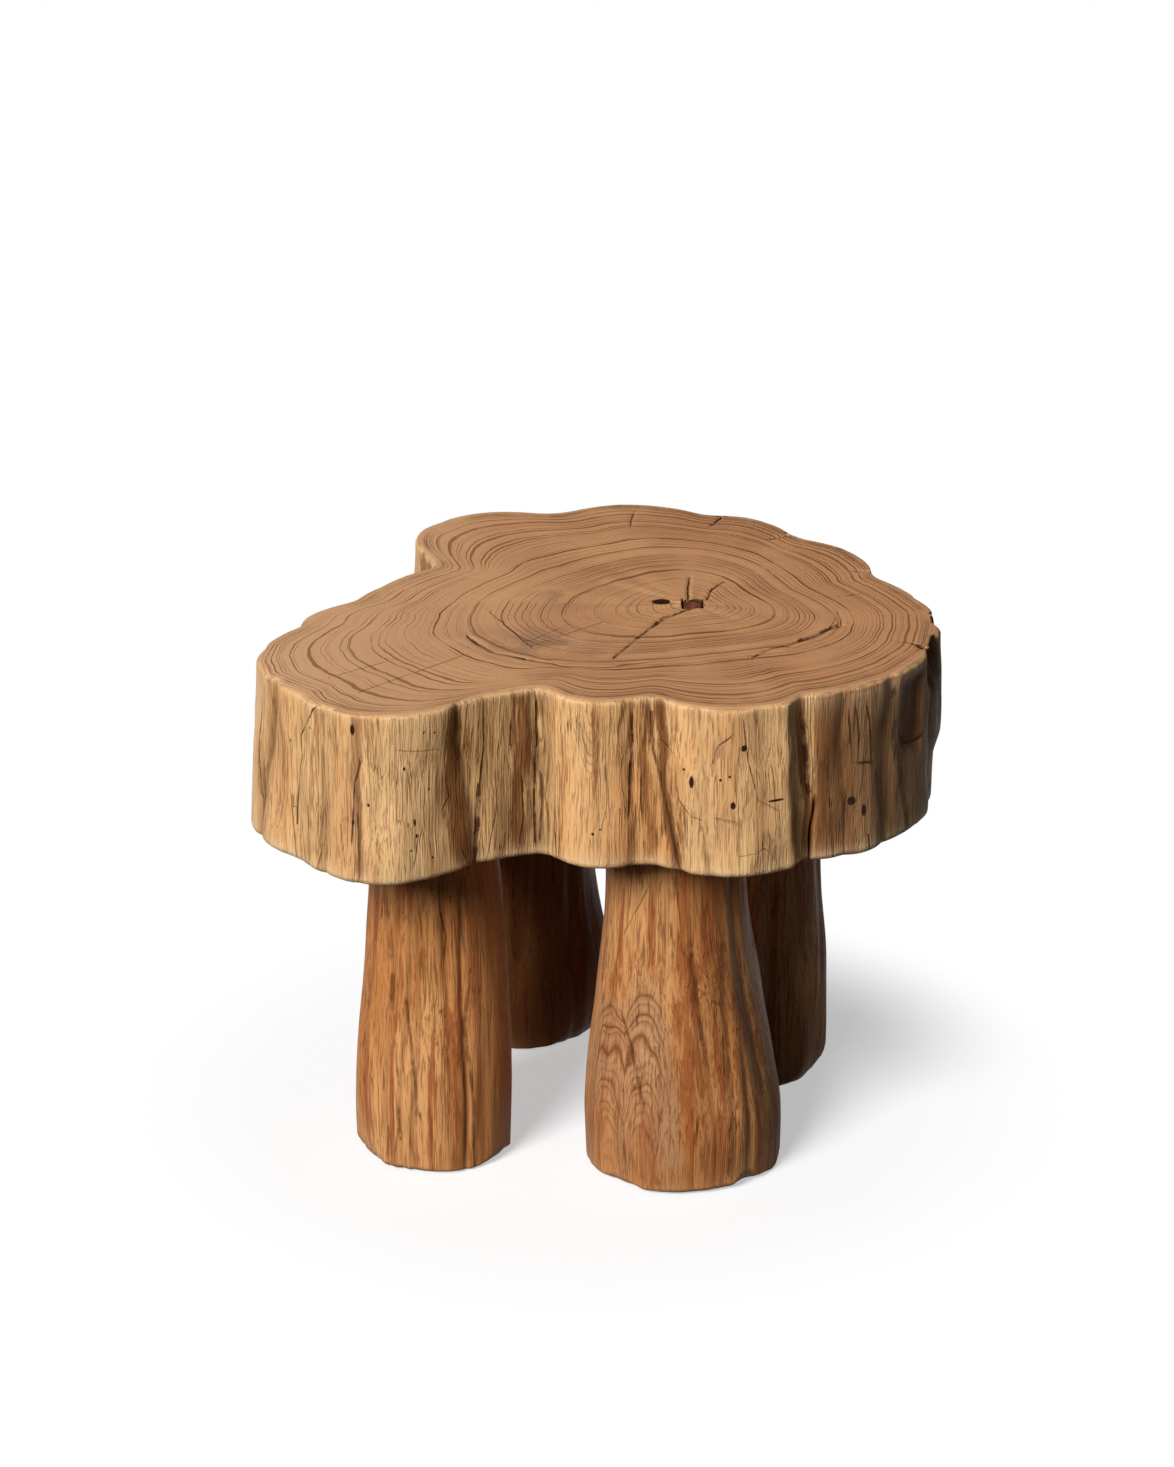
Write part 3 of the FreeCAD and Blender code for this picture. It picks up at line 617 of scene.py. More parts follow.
# Wear with painted highlight: the outer top, the rim's roll, the ridges, the lit left edge and the foot's
# bead
wear_and_painted_light = over(
    SLAB_ZONES,
    0.25 * ease(0.93, 1.0, share),
    0.2 + 0.5 * np.exp(-(((rim_out - 0.85) / 0.18) ** 2)),
    (0.35 * ridges_and_lit_edge + rim_wear_and_highlight + painted_foot_highlight) * (1 - 0.8 * wall_hollow),
    1 - 0.7 * foot_hollow,
    0,
)
split = over(SLAB_ZONES, top_split, rim_split * ease(0.0, 0.6, rim_out), wall_split, foot_split, 0)
slab_rows = np.concatenate(SLAB_ZONES)
CRACKS.sort(key=lambda crack: crack[2][0][0])
crack_off, crack_dark = beside(CRACKS[::2], way_round, slab_rows[..., 2], 5 * MM)
cleft_off, cleft_dark = beside(CRACKS[1::2], way_round, slab_rows[..., 2], 5 * MM)
crack_dark = crack_dark * side
top_lines = [(half_width, darkness, points) for half_width, darkness, _, points in TOP_LINES]
crack_off[:len(top_x)], crack_dark[:len(top_x)] = beside(top_lines, top_x, top_y, 10 * MM)


def skin(name, rows, start, end, measures):
    """A closed skin: rows of points that go round, joined by quads, with a fan to a pole at each end.

    Rows are given so that the faces look outwards. Each measure is a number per point, the poles taking their
    row's mean.
    """
    count, around = rows.shape[:2]
    points = np.concatenate([rows.reshape(-1, 3), [start], [end]])
    here = np.arange(around)
    after = np.roll(here, -1)
    low = np.arange(count - 1)[:, None] * around
    high = low + around
    quads = np.stack([low + here, low + after, high + after, high + here], axis=-1).reshape(-1, 4)
    first_fan = np.stack([np.full(around, count * around), after, here], axis=-1)
    last = (count - 1) * around
    last_fan = np.stack([np.full(around, count * around + 1), last + here, last + after], axis=-1)
    corners = np.concatenate([quads.ravel(), first_fan.ravel(), last_fan.ravel()])
    sizes = np.concatenate([np.full(len(quads), 4), np.full(2 * around, 3)])
    mesh = bpy.data.meshes.new(name)
    mesh.vertices.add(len(points))
    mesh.vertices.foreach_set("co", points.ravel().astype(np.float32))
    mesh.loops.add(len(corners))
    mesh.loops.foreach_set("vertex_index", corners.astype(np.int32))
    mesh.polygons.add(len(sizes))
    mesh.polygons.foreach_set("loop_start", (np.cumsum(sizes) - sizes).astype(np.int32))
    mesh.update(calc_edges=True)
    mesh.validate()
    mesh.polygons.foreach_set("use_smooth", np.ones(len(sizes), bool))
    for measure, values in measures.items():
        full = np.concatenate([values.ravel(), [values[0].mean()], [values[-1].mean()]])
        mesh.attributes.new(measure, "FLOAT", "POINT").data.foreach_set("value", full.astype(np.float32))
    piece = bpy.data.objects.new(name, mesh)
    bpy.context.scene.collection.objects.link(piece)
    return piece


slab_measures = {
    "ring": ring, "tight": tight, "side": side, "painted_shade": painted_shade, "wear_and_painted_light": wear_and_painted_light, "split": split,
    "stain_and_shade": stain_and_shade, "round": way_round, "crack": crack_off, "crack_dark": crack_dark,
    "cleft": cleft_off, "cleft_dark": cleft_dark * side,
}
seat_wood = skin(
    "trunk_slice",
    slab_rows[::-1],
    (*HEART, UNDERSIDE),
    (*HEART, TOP - WELL_DEPTH),
    {name: values[::-1] for name, values in slab_measures.items()},
)
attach(seat_wood, "root")
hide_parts("seat_slab")


def tone(red, green, blue):
    """A colour given in 0 to 255 as seen on a screen, as the linear values that a shader takes."""
    seen = np.array([red, green, blue]) / 255
    linear = np.where(seen <= 0.04045, seen / 12.92, ((seen + 0.055) / 1.055) ** 2.4)
    return (*linear.tolist(), 1.0)


def place(tree, kind, values=None, **settings):
    """A shader node with its settings; a value is a number or colour for a socket, or a socket to join."""
    made = tree.nodes.new(kind)
    for name, setting in settings.items():
        setattr(made, name, setting)
    for name, value in (values or {}).items():
        if isinstance(value, bpy.types.NodeSocket):
            tree.links.new(value, made.inputs[name])
        else:
            made.inputs[name].default_value = value
    return made


def maths(operation, first, second=0.0, third=0.0):
    """One step of arithmetic on a socket, with other sockets or numbers; its node tree is the socket's."""
    values = {0: first, 1: second, 2: third}
    return place(first.id_data, "ShaderNodeMath", values, operation=operation).outputs[0]


def times(first, second):
    """A socket times another or a number."""
    return maths("MULTIPLY", first, second)


def vectors(operation, first, second):
    """One step of arithmetic between vectors, axis by axis."""
    values = {0: first, 1: second}
    return place(first.id_data, "ShaderNodeVectorMath", values, operation=operation).outputs[0]


def stretched(vector, factors):
    """A position multiplied along each axis, so that noise runs long where the factor is small."""
    return vectors("MULTIPLY", vector, factors)


def off_centre(vector, middle, factors):
    """The distance of a vector from a middle, with each axis multiplied by its factor."""
    off = stretched(vectors("SUBTRACT", vector, middle), factors)
    return place(off.id_data, "ShaderNodeVectorMath", {0: off}, operation="LENGTH").outputs["Value"]


def span(value, low, high, new_low=0.0, new_high=1.0):
    """A smooth step: low and below give new_low, high and above give new_high."""
    values = {"Value": value, "From Min": low, "From Max": high, "To Min": new_low, "To Max": new_high}
    made = place(value.id_data, "ShaderNodeMapRange", values, interpolation_type="SMOOTHSTEP")
    return made.outputs["Result"]


def grain(vector, scale, detail=3.0, rough=0.55):
    """Noise at a number of features per metre, from 0 to 1."""
    values = {"Vector": vector, "Scale": scale, "Detail": detail, "Roughness": rough}
    return place(vector.id_data, "ShaderNodeTexNoise", values).outputs["Fac"]


def swing(vector, scale, detail):
    """The same noise about nought, from minus a half to a half."""
    return maths("SUBTRACT", grain(vector, scale, detail), 0.5)


def blend(amount, first, second):
    """Two colours mixed by an amount from 0 to 1."""
    values = {0: amount, 6: first, 7: second}
    return place(amount.id_data, "ShaderNodeMix", values, data_type="RGBA").outputs[2]


def tinted(colour, marks):
    """A colour with tints laid over it in turn, each by its mark times an amount."""
    for mark, amount, tint in marks:
        colour = blend(times(mark, amount), colour, tint)
    return colour


def lowered(relief, marks):
    """A relief less each mark times its depth."""
    for mark, depth in marks:
        relief = maths("SUBTRACT", relief, times(mark, depth))
    return relief


def group(name, takes, gives):
    """An empty shader group that takes a position and numbers; returns it, its inputs and its outputs."""
    made = bpy.data.node_groups.new(name, "ShaderNodeTree")
    made.interface.new_socket("Position", in_out="INPUT", socket_type="NodeSocketVector")
    for socket in takes:
        made.interface.new_socket(socket, in_out="INPUT", socket_type="NodeSocketFloat")
    for socket in gives:
        made.interface.new_socket(socket, in_out="OUTPUT", socket_type="NodeSocketFloat")
    return made, made.nodes.new("NodeGroupInput").outputs, made.nodes.new("NodeGroupOutput").inputs


# Growth rings: one line per ring of the measure, spaced unevenly, each of its own strength and broken up
# along its way
rings, given, result = group("growth rings", ["Ring", "Per metre", "Width"], ["Line"])
sway = times(swing(given["Position"], 11.0, 2.0), 0.014)
shiver = times(swing(given["Position"], 70.0, 3.0), 0.0028)
year = maths("ADD", given["Ring"], maths("ADD", sway, shiver))
counted = times(year, given["Per metre"])
spacing = {"W": counted, "Scale": 0.41, "Detail": 1.0}
uneven = place(rings, "ShaderNodeTexNoise", spacing, noise_dimensions="1D").outputs["Fac"]
counted = maths("MULTIPLY_ADD", uneven, 2.4, counted)
off_ring = maths("ABSOLUTE", maths("SUBTRACT", maths("FRACT", counted), 0.5))
off_ring = maths("DIVIDE", off_ring, given["Per metre"])
whole = maths("FLOOR", counted)
own = place(rings, "ShaderNodeTexWhiteNoise", {"W": whole}, noise_dimensions="1D").outputs["Value"]
broad = times(given["Width"], span(own, 0.0, 1.0, 0.6, 1.1))
broad = times(broad, span(grain(given["Position"], 19.0, 2.0), 0.35, 0.65, 0.6, 1.25))
line = span(maths("DIVIDE", off_ring, broad), 0.15, 0.6, 1.0, 0.0)
line = times(line, span(own, 0.1, 0.9, 0.25, 1.0))
broken = span(grain(given["Position"], 20.0), 0.32, 0.48, 0.35, 1.0)
rings.links.new(times(line, broken), result["Line"])

# Fibre: fields of noise drawn out along the trunk, so that they show as streaks on a side and as pores on an
# end. Along says how far they are drawn out; threads are the thin level lines of one field, broken by another
fibre, given, result = group("wood fibre", ["Along"], ["Tone", "Streak", "Fibre", "Thread", "Tick", "Patch"])
bent = place(fibre, "ShaderNodeTexNoise", {"Vector": given["Position"], "Scale": 15.0, "Detail": 2.0})
bent = vectors("SUBTRACT", bent.outputs["Color"], (0.5, 0.5, 0.5))
bent = vectors("ADD", given["Position"], stretched(bent, (0.005, 0.005, 0.0)))
press = place(fibre, "ShaderNodeCombineXYZ", {"X": 1.0, "Y": 1.0, "Z": given["Along"]}).outputs[0]
pulled = stretched(bent, press)
loose = stretched(bent, (1.0, 1.0, 0.2))
fibre.links.new(grain(loose, 18.0), result["Tone"])
fibre.links.new(grain(pulled, 100.0, 5.0, 0.65), result["Streak"])
fibre.links.new(grain(pulled, 620.0, 3.0, 0.75), result["Fibre"])
thread = span(maths("ABSOLUTE", swing(pulled, 130.0, 2.0)), 0.004, 0.022, 1.0, 0.0)
thread = times(thread, span(grain(loose, 45.0, 2.0), 0.46, 0.56))
fibre.links.new(thread, result["Thread"])
ticks = grain(stretched(bent, (1.0, 1.0, 0.05)), 680.0, 1.0)
fibre.links.new(span(ticks, 0.60, 0.67), result["Tick"])
fibre.links.new(grain(given["Position"], 9.0), result["Patch"])

# Drawn lines: where the measure of half widths off a line goes through nought, shaken and broken by noise
lines, given, result = group("drawn lines", ["Off", "Dark"], ["Line"])
wander = swing(stretched(given["Position"], (1.0, 1.0, 0.4)), 160.0, 3.0)
wander = maths("ABSOLUTE", maths("MULTIPLY_ADD", wander, 2.4, given["Off"]))
line = span(wander, 0.5, 1.5, 1.0, 0.0)
broken = span(grain(given["Position"], 60.0), 0.38, 0.54, 0.4, 0.95)
lines.links.new(times(times(line, broken), given["Dark"]), result["Line"])


def measure(tree, name):
    """A number that the piece's mesh carries at each point."""
    return place(tree, "ShaderNodeAttribute", attribute_name=name, attribute_type="GEOMETRY").outputs["Fac"]


def drawn_lines(position, name):
    """The lines that the piece's mesh carries as a measure of that name, with their darkness."""
    tree = position.id_data
    values = {"Position": position, "Off": measure(tree, name), "Dark": measure(tree, name + "_dark")}
    return place(tree, "ShaderNodeGroup", values, node_tree=lines).outputs["Line"]


def ring_lines(position, ring, per_metre, width):
    """Growth rings of a measure, at a number to each metre of it and of a width in metres."""
    drawn_out = stretched(position, (1.0, 1.0, 0.12))
    values = {"Position": drawn_out, "Ring": ring, "Per metre": per_metre, "Width": width}
    return place(position.id_data, "ShaderNodeGroup", values, node_tree=rings).outputs["Line"]


def wood(name, along):
    """A dull material with its node tree, the position on the piece, and its fields of fibre."""
    made = bpy.data.materials.new(name)
    made.use_nodes = True
    tree = made.node_tree
    tree.nodes["Principled BSDF"].inputs["Specular IOR Level"].default_value = 0.1
    position = place(tree, "ShaderNodeTexCoord").outputs["Object"]
    strands = place(tree, "ShaderNodeGroup", {"Position": position, "Along": along}, node_tree=fibre).outputs
    return made, tree, position, strands


def dress(tree, strands, colour, rough, relief, strength, depth):
    """Joins a wood's colour, its roughness from patch to patch and its relief to its shader."""
    shader = tree.nodes["Principled BSDF"]
    tree.links.new(colour, shader.inputs["Base Color"])
    tree.links.new(span(strands["Patch"], 0.3, 0.7, *rough), shader.inputs["Roughness"])
    bump = place(tree, "ShaderNodeBump", {"Strength": strength, "Distance": depth, "Height": relief})
    tree.links.new(bump.outputs["Normal"], shader.inputs["Normal"])


TOP_TAN = tone(206, 154, 108)
TOP_DEEP = tone(190, 137, 96)
# Painted light: a paler tan for the top's left side, where the light falls
TOP_LIT_LEFT = tone(218, 170, 128)
TOP_SMUDGE = tone(150, 116, 92)
RING_BROWN = tone(108, 64, 35)
SIDE_STRAW = tone(222, 176, 120)
SIDE_HONEY = tone(206, 151, 97)
SIDE_BROWN = tone(140, 86, 44)
SIDE_DARK = tone(72, 42, 22)
BOW_BROWN = tone(98, 54, 26)
# The pale of worn edges, also laid on as painted highlight
RIM_PALE = tone(226, 188, 142)
SPLIT_DARK = tone(46, 25, 14)
CRACK_BROWN = tone(66, 37, 20)

# Rings to each metre of the way out and their width, for the plain ones and the finer ones between
RINGS_PLAIN = (150.0, 0.95 * MM)
RINGS_FINE = (300.0, 0.9 * MM)

# Growth rings laid bare as nested bows on the middle lobe: their middle at the rim, as the way round from the
# back and the height, how many times taller than wide they are, how many to a metre and how broad, and the
# heights between which they fade out
BOWS_MIDDLE = (950 * MM, 425 * MM, 0.0)
BOWS_TALL = 4.6
BOWS_SPACING = (130.0, 2.6 * MM)
BOWS_FADE = (54 * MM, 66 * MM)

# Worm holes and nicks in the sides: angle, height above the floor, half width and half height in millimetres
HOLES = [
    (278.8, 397, 2.3, 2.6), (269.2, 369, 1.8, 5), (274.4, 372, 1, 1.1), (276.1, 375, 1, 1.1),
    (276.8, 351, 1.9, 3.2), (285.1, 352, 6.5, 1), (267.6, 378, 0.9, 1), (249.6, 320, 1.1, 1.2),
    (303.4, 335, 3, 3.6), (306, 326, 2.2, 5), (222.9, 416, 1.7, 4.5), (216.3, 408, 1, 1),
    (211.6, 388, 0.8, 0.9), (229.4, 411, 0.9, 0.9), (228.9, 413, 0.8, 0.8), (227.7, 385, 1, 1.3),
    (229.2, 365, 0.8, 0.8), (228.4, 340, 0.9, 3.2), (228.5, 329, 0.9, 1.6), (229.3, 309, 1, 1),
    (222.8, 341, 0.8, 2.2), (228.1, 318, 0.8, 0.9), (224.5, 356, 1, 1.3), (251, 324, 0.8, 0.8),
    (98, 372, 1.6, 2.6), (110, 340, 1, 1.2), (20, 350, 1.4, 2.4), (160, 366, 1.2, 1.6),
]

trunk_wood, tree, position, strands = wood("scraped trunk, end grain and sapwood", 0.045)
years, fine = [
    ring_lines(position, measure(tree, "ring"), per_metre, times(measure(tree, "tight"), width))
    for per_metre, width in (RINGS_PLAIN, RINGS_FINE)
]
axes = place(tree, "ShaderNodeSeparateXYZ", {"Vector": position}).outputs
end_grain = blend(span(strands["Patch"], 0.35, 0.65), TOP_TAN, TOP_DEEP)
# Painted light: the top is paler towards the left and deeper towards the right, as light falls from the left
end_grain = blend(span(axes["X"], -0.25, 0.0, 0.8, 0.0), end_grain, TOP_LIT_LEFT)
end_grain = blend(span(axes["X"], 0.02, 0.22, 0.0, 0.7), end_grain, TOP_DEEP)
greyed = times(measure(tree, "stain_and_shade"), span(grain(position, 45.0), 0.35, 0.6))
end_grain = blend(greyed, end_grain, TOP_SMUDGE)
end_grain = blend(span(strands["Fibre"], 0.45, 0.7, 0.0, 0.2), end_grain, RING_BROWN)
clear = span(measure(tree, "ring"), 0.02, 0.12, 0.4, 1.0)
end_grain = blend(times(times(fine, 0.7), clear), end_grain, RING_BROWN)
end_grain = blend(times(years, clear), end_grain, RING_BROWN)
flank = blend(span(strands["Tone"], 0.40, 0.60), SIDE_STRAW, SIDE_HONEY)
strand = maths("SUBTRACT", maths("ADD", strands["Streak"], strands["Fibre"]), 1.0)
# The stain measure carries the right side's painted shade as well as the real stains
fibrous = maths("MULTIPLY_ADD", strand, 1.5, measure(tree, "stain_and_shade"))
flank = blend(span(fibrous, 0.3, 0.7, 0.0, 0.85), flank, SIDE_BROWN)
flank = blend(span(measure(tree, "stain_and_shade"), 0.7, 1.0, 0.0, 0.4), flank, SIDE_DARK)
flank = blend(span(strands["Streak"], 0.53, 0.64, 0.0, 0.3), flank, SIDE_BROWN)
flank = blend(span(strands["Fibre"], 0.50, 0.62, 0.0, 0.6), flank, SIDE_BROWN)
flat_side = place(tree, "ShaderNodeCombineXYZ", {"X": measure(tree, "round"), "Y": axes["Z"]}).outputs[0]
bowed = off_centre(flat_side, BOWS_MIDDLE, (BOWS_TALL, 1.0, 0.0))
bows = ring_lines(position, bowed, *BOWS_SPACING)
bows = times(bows, span(bowed, *BOWS_FADE, 1.0, 0.0))
flank = blend(bows, flank, BOW_BROWN)
flank = tinted(flank, [(strands["Thread"], 0.5, SIDE_DARK), (strands["Tick"], 0.45, SIDE_DARK)])
# Painted shade in the flutes, valleys and bites and on the right side, broken up by the streaks
streaked_shade = times(measure(tree, "painted_shade"), span(strands["Streak"], 0.35, 0.6, 0.3, 1.0))
flank = tinted(flank, [(streaked_shade, 0.75, SIDE_DARK)])
colour = blend(measure(tree, "side"), end_grain, flank)
# Paler where worn, with painted light on the left edge, the rim and the bead at the foot
pale_wear_and_light = times(measure(tree, "wear_and_painted_light"), span(strands["Streak"], 0.4, 0.6, 0.75, 0.3))
colour = blend(pale_wear_and_light, colour, RIM_PALE)
bored = span(measure(tree, "split"), 0.15, 0.75)
cracked = maths("MAXIMUM", drawn_lines(position, "crack"), drawn_lines(position, "cleft"))
colour = blend(cracked, colour, CRACK_BROWN)
for angle, height, half_width, half_height in HOLES:
    middle = ((share_at(angle) - share_at(90)) % 1.0 * girth, height * MM, 0.0)
    off_hole = off_centre(flat_side, middle, (1 / (half_width * MM), 1 / (half_height * MM), 0.0))
    bored = maths("MAXIMUM", bored, span(off_hole, 0.75, 1.15, 1.0, 0.0))
colour = blend(bored, colour, SPLIT_DARK)
relief = maths("MULTIPLY_ADD", strands["Streak"], 1.5, strands["Fibre"])
relief = lowered(relief, [(strands["Tick"], 0.4), (strands["Thread"], 0.6)])
relief = times(relief, measure(tree, "side"))
relief = lowered(relief, [(years, 0.4), (bored, 1.0), (cracked, 1.4)])
dress(tree, strands, colour, (0.5, 0.66), relief, 0.8, 1.2 * MM)
seat_wood.data.materials.append(trunk_wood)


# Heart plug
# A small block of redder heartwood that sits in the hole at the slab's heart, sunk a little below the top.
# It is whittled to the hole and pressed in, so its corners are soft and its top is uneven.

PLUG_COLUMNS = 64
PLUG_TRIM = 0.7 * MM
PLUG_SQUARENESS = 5
PLUG_RING_SPAN = 9 * MM
PLUG_RED = tone(134, 78, 60)
PLUG_DARK = tone(86, 46, 34)

# Rows from the top's middle over its edge to the foot: share of the half size, share of the drop
PLUG_ROWS = [(size, 0) for size in np.linspace(0.1, 0.9, 8)]
PLUG_ROWS += [(0.96, 0.05), (1, 0.12), (1, 0.3), (1, 0.6), (1, 0.95), (0.9, 1), (0.4, 1)]

plug_size, plug_drop = np.array(PLUG_ROWS).T[..., None]
plug_turn = np.arange(PLUG_COLUMNS) / PLUG_COLUMNS * 2 * np.pi
corner = np.abs(np.cos(plug_turn)) ** PLUG_SQUARENESS + np.abs(np.sin(plug_turn)) ** PLUG_SQUARENESS
corner = corner ** (-1 / PLUG_SQUARENESS)
uneven_top = 0.6 * MM * drift(plug_turn / (2 * np.pi), plug_size, 7, 3, 51) * (1 - plug_drop)
plug_top, plug_foot = heart_high.z - PLUG_TRIM, heart_low.z + PLUG_TRIM
plug_rows = np.stack(
    [
        HEART[0] + PLUG_HALF[0] * corner * np.cos(plug_turn) * plug_size,
        HEART[1] + PLUG_HALF[1] * corner * np.sin(plug_turn) * plug_size,
        plug_top - plug_drop * (plug_top - plug_foot) + uneven_top,
    ],
    axis=-1,
)
plug_ring = plug_size * PLUG_RING_SPAN + 0 * plug_turn
plug_poles = ((*HEART, plug_foot), (*HEART, plug_top))
plug = skin("heart_block", plug_rows[::-1], *plug_poles, {"ring": plug_ring[::-1]})
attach(plug, "root")
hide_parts("heart_plug")

plug_wood, tree, position, strands = wood("red heartwood", 0.08)
years = ring_lines(position, measure(tree, "ring"), 450.0, 0.8 * MM)
colour = blend(span(strands["Streak"], 0.35, 0.7), PLUG_RED, PLUG_DARK)
colour = tinted(colour, [(years, 0.6, PLUG_DARK)])
dress(tree, strands, colour, (0.55, 0.7), strands["Fibre"], 0.5, 0.6 * MM)
plug.data.materials.append(plug_wood)


# Legs
# Four legs carved from separate billets with the grain upright, each of its own girth, flared towards the
# floor. They are drawknifed and sanded, with checks and gouges left in, and a hand-cut edge round the sole.
# Each is held up to the slab by a blind tenon in its top.

LEG_NAMES = ("front_left", "front_right", "rear_left", "rear_right")
LEG_COLUMNS = 240
LEG_SIDE_ROWS = 150
LEG_INTO_SLAB = 0.4 * MM
LEG_AROUND = np.arange(LEG_COLUMNS) / LEG_COLUMNS

# Half widths in millimetres from sole to slab, how far the axis leans, seed, and how much painted shade
# darkens the whole leg, most on the rear left one in the slab's shadow
LEG_FORMS = {
    "front_left": ([61, 62, 61, 57.5, 52, 47], [1, 1, 2, 3.5, 4.5, 3.5], 61, 0.0),
    "front_right": ([76.5, 77.5, 73.5, 64.5, 56, 54.5], [3, 2.5, 0.5, -2, -5, -6], 62, 0.28),
    "rear_left": ([69, 68, 61, 55, 52, 50], [0, 0, 0, 0, 0, 0], 63, 1.3),
    "rear_right": ([57.5, 58.5, 58, 54, 50, 48], [-2, -2, -2, -2, -2, -2], 64, 0.0),
}
LEG_STATIONS = [0.0, 0.15, 0.28, 0.5, 0.78, 1.0]

# Rows from the sole's middle to its edge: share of the half width, share of the edge's rise; then the rows
# over the top: share of the half width
SOLE_SIZE, SOLE_RISE = np.array([(0.1, 0), (0.5, 0), (0.86, 0), (0.94, 0.3), (0.98, 0.65)]).T[..., None]
CROWN_SIZE = np.array([0.9, 0.5, 0.1])[:, None]

# Where the edge of a sole is cut away: angle, half width in degrees, rise in millimetres
SOLE_CUTS = {
    "front_left": [(206, 20, 15), (240, 9, 3), (330, 14, 6)],
    "front_right": [(312, 8, 9), (230, 12, 4), (20, 16, 8)],
    "rear_left": [(335, 36, 30), (240, 14, 4), (120, 18, 6)],
    "rear_right": [(336, 26, 30), (262, 10, 5), (90, 16, 6)],
}

# Gouges up the legs: angle, depth and half width in millimetres, lowest and highest share of height
LEG_GOUGES = {
    "front_left": [
        (236, 2, 3, 0, 1), (248, 1, 2, 0, 0.8), (257, 1.5, 3, 0, 0.75), (281, 2.5, 3, 0.6, 1),
        (296, 2.5, 2.4, 0, 0.85), (284, 1.2, 2, 0.1, 0.6), (212, 1.2, 3, 0.1, 0.8), (20, 3, 6, 0, 1),
        (95, 4, 7, 0.1, 0.9), (150, 3, 5, 0, 0.6),
    ],
    "front_right": [
        (281, 1.5, 3, 0.5, 0.75), (304, 1.5, 3, 0.1, 0.6), (314, 2, 4, 0, 0.3), (330, 2.5, 6, 0.3, 1),
        (288, 1, 2, 0, 0.5), (262, 0.8, 2, 0.6, 1), (20, 4, 7, 0, 0.8), (100, 3, 6, 0.2, 1),
        (160, 4, 7, 0, 0.7),
    ],
    "rear_left": [
        (210, 3, 6, 0, 0.8), (265, 3, 6, 0.2, 1), (310, 3, 6, 0, 0.7), (40, 3, 7, 0.1, 0.9),
        (110, 4, 6, 0, 0.8),
    ],
    "rear_right": [
        (215, 3, 6, 0.2, 1), (280, 4, 6, 0, 0.7), (335, 3, 6, 0.2, 0.9), (60, 3, 7, 0, 0.8),
        (140, 4, 6, 0.1, 1),
    ],
}

# Checks and dark streaks in the legs: half width in millimetres, darkness, then points as angle and height
LEG_CHECKS = {
    "front_left": [
        (2.2, 0.6, [(227.5, 234), (229, 204), (232.5, 184)]),
        (2.0, 0.8, [(235.5, 167), (236, 140)]),
        (1.4, 0.8, [(248.5, 148), (258, 78), (259, 45)]),
        (1.0, 0.7, [(259.5, 151), (261.5, 127), (269, 98)]),
        (1.4, 0.6, [(255.5, 244), (262.5, 189)]),
        (0.9, 1.0, [(275.5, 247), (276, 226), (281, 204), (280, 188)]),
        (2.0, 0.5, [(294, 243), (297.5, 190)]),
        (1.5, 0.9, [(301.5, 172), (296, 128), (302.5, 67), (304.5, 3)]),
        (1.0, 0.7, [(241, 112), (245, 78)]),
        (0.6, 0.8, [(326.5, 112), (341, 6)]),
        (0.8, 0.8, [(245.5, 55), (246, 35)]),
    ],
    "front_right": [
        (0.7, 0.7, [(247, 253), (227, 213)]),
        (1.8, 0.8, [(282.5, 199), (284, 139), (288.5, 110)]),
        (2.0, 0.6, [(309, 203), (308, 176)]),
        (0.7, 0.8, [(287, 190), (293, 180)]),
        (0.8, 0.8, [(301, 130), (299, 99)]),
        (1.0, 0.8, [(279, 67), (276.5, 47)]),
        (1.2, 0.9, [(299, 54), (298, 16)]),
        (1.4, 0.8, [(226, 146), (236.5, 124), (246, 77)]),
    ],
    "rear_left": [],
    "rear_right": [],
}

# More of them on the sides that look away, at seeded random places
for name in LEG_NAMES:
    first, last = (10, 190) if "front" in name else (0, 360)
    for angle in np.arange(first, last, 36):
        start, lean = chance.uniform(90, 260), chance.uniform(-3, 3)
        half_width, darkness = chance.uniform(0.7, 1.6), chance.uniform(0.6, 0.9)
        end = start - chance.uniform(40, 85)
        LEG_CHECKS[name].append((half_width, darkness, [(angle + 3 * lean, start), (angle + 4 * lean, end)]))

# Way round a leg at about mid height, in millimetres
LEG_GIRTH = 410

# Arches of the flame on the front right leg, where the rings run out on its flare: angle, how many times
# taller than wide, and how close they lie; then how blunt an arch is, and the leg's radius there
FLAMES = {"front_right": [(244.5, 5.2, 0.92), (219, 4.2, 1.02)]}
FLAME_BLUNT = 2.4
FLAME_RADIUS = 75 * MM

# Painted light on the front left leg's right side, which is turned from the lamp: angle, half width in
# degrees, strength
LEG_PAINTED_LIGHT = {"front_left": [(335, 24, 2.2)]}


def through(stations, values, at):
    """A smooth line through values at given stations: each run is a cubic with slopes from its neighbours."""
    stations = np.array(stations, float)
    values = np.array(values, float)
    slopes = np.gradient(values, stations)
    run = np.clip(np.searchsorted(stations, at, side="right") - 1, 0, len(stations) - 2)
    width = stations[run + 1] - stations[run]
    t = (at - stations[run]) / width
    start = (1 + 2 * t) * (1 - t) ** 2 * values[run] + t * (1 - t) ** 2 * width * slopes[run]
    return start + t * t * (3 - 2 * t) * values[run + 1] + t * t * (t - 1) * width * slopes[run + 1]


def rows_round(x, y, half, z):
    """Rows of points round an upright axis at x and y, at half widths and heights."""
    angle = LEG_AROUND * 2 * np.pi
    return np.stack(np.broadcast_arrays(x + half * np.cos(angle), y + half * np.sin(angle), z), axis=-1)


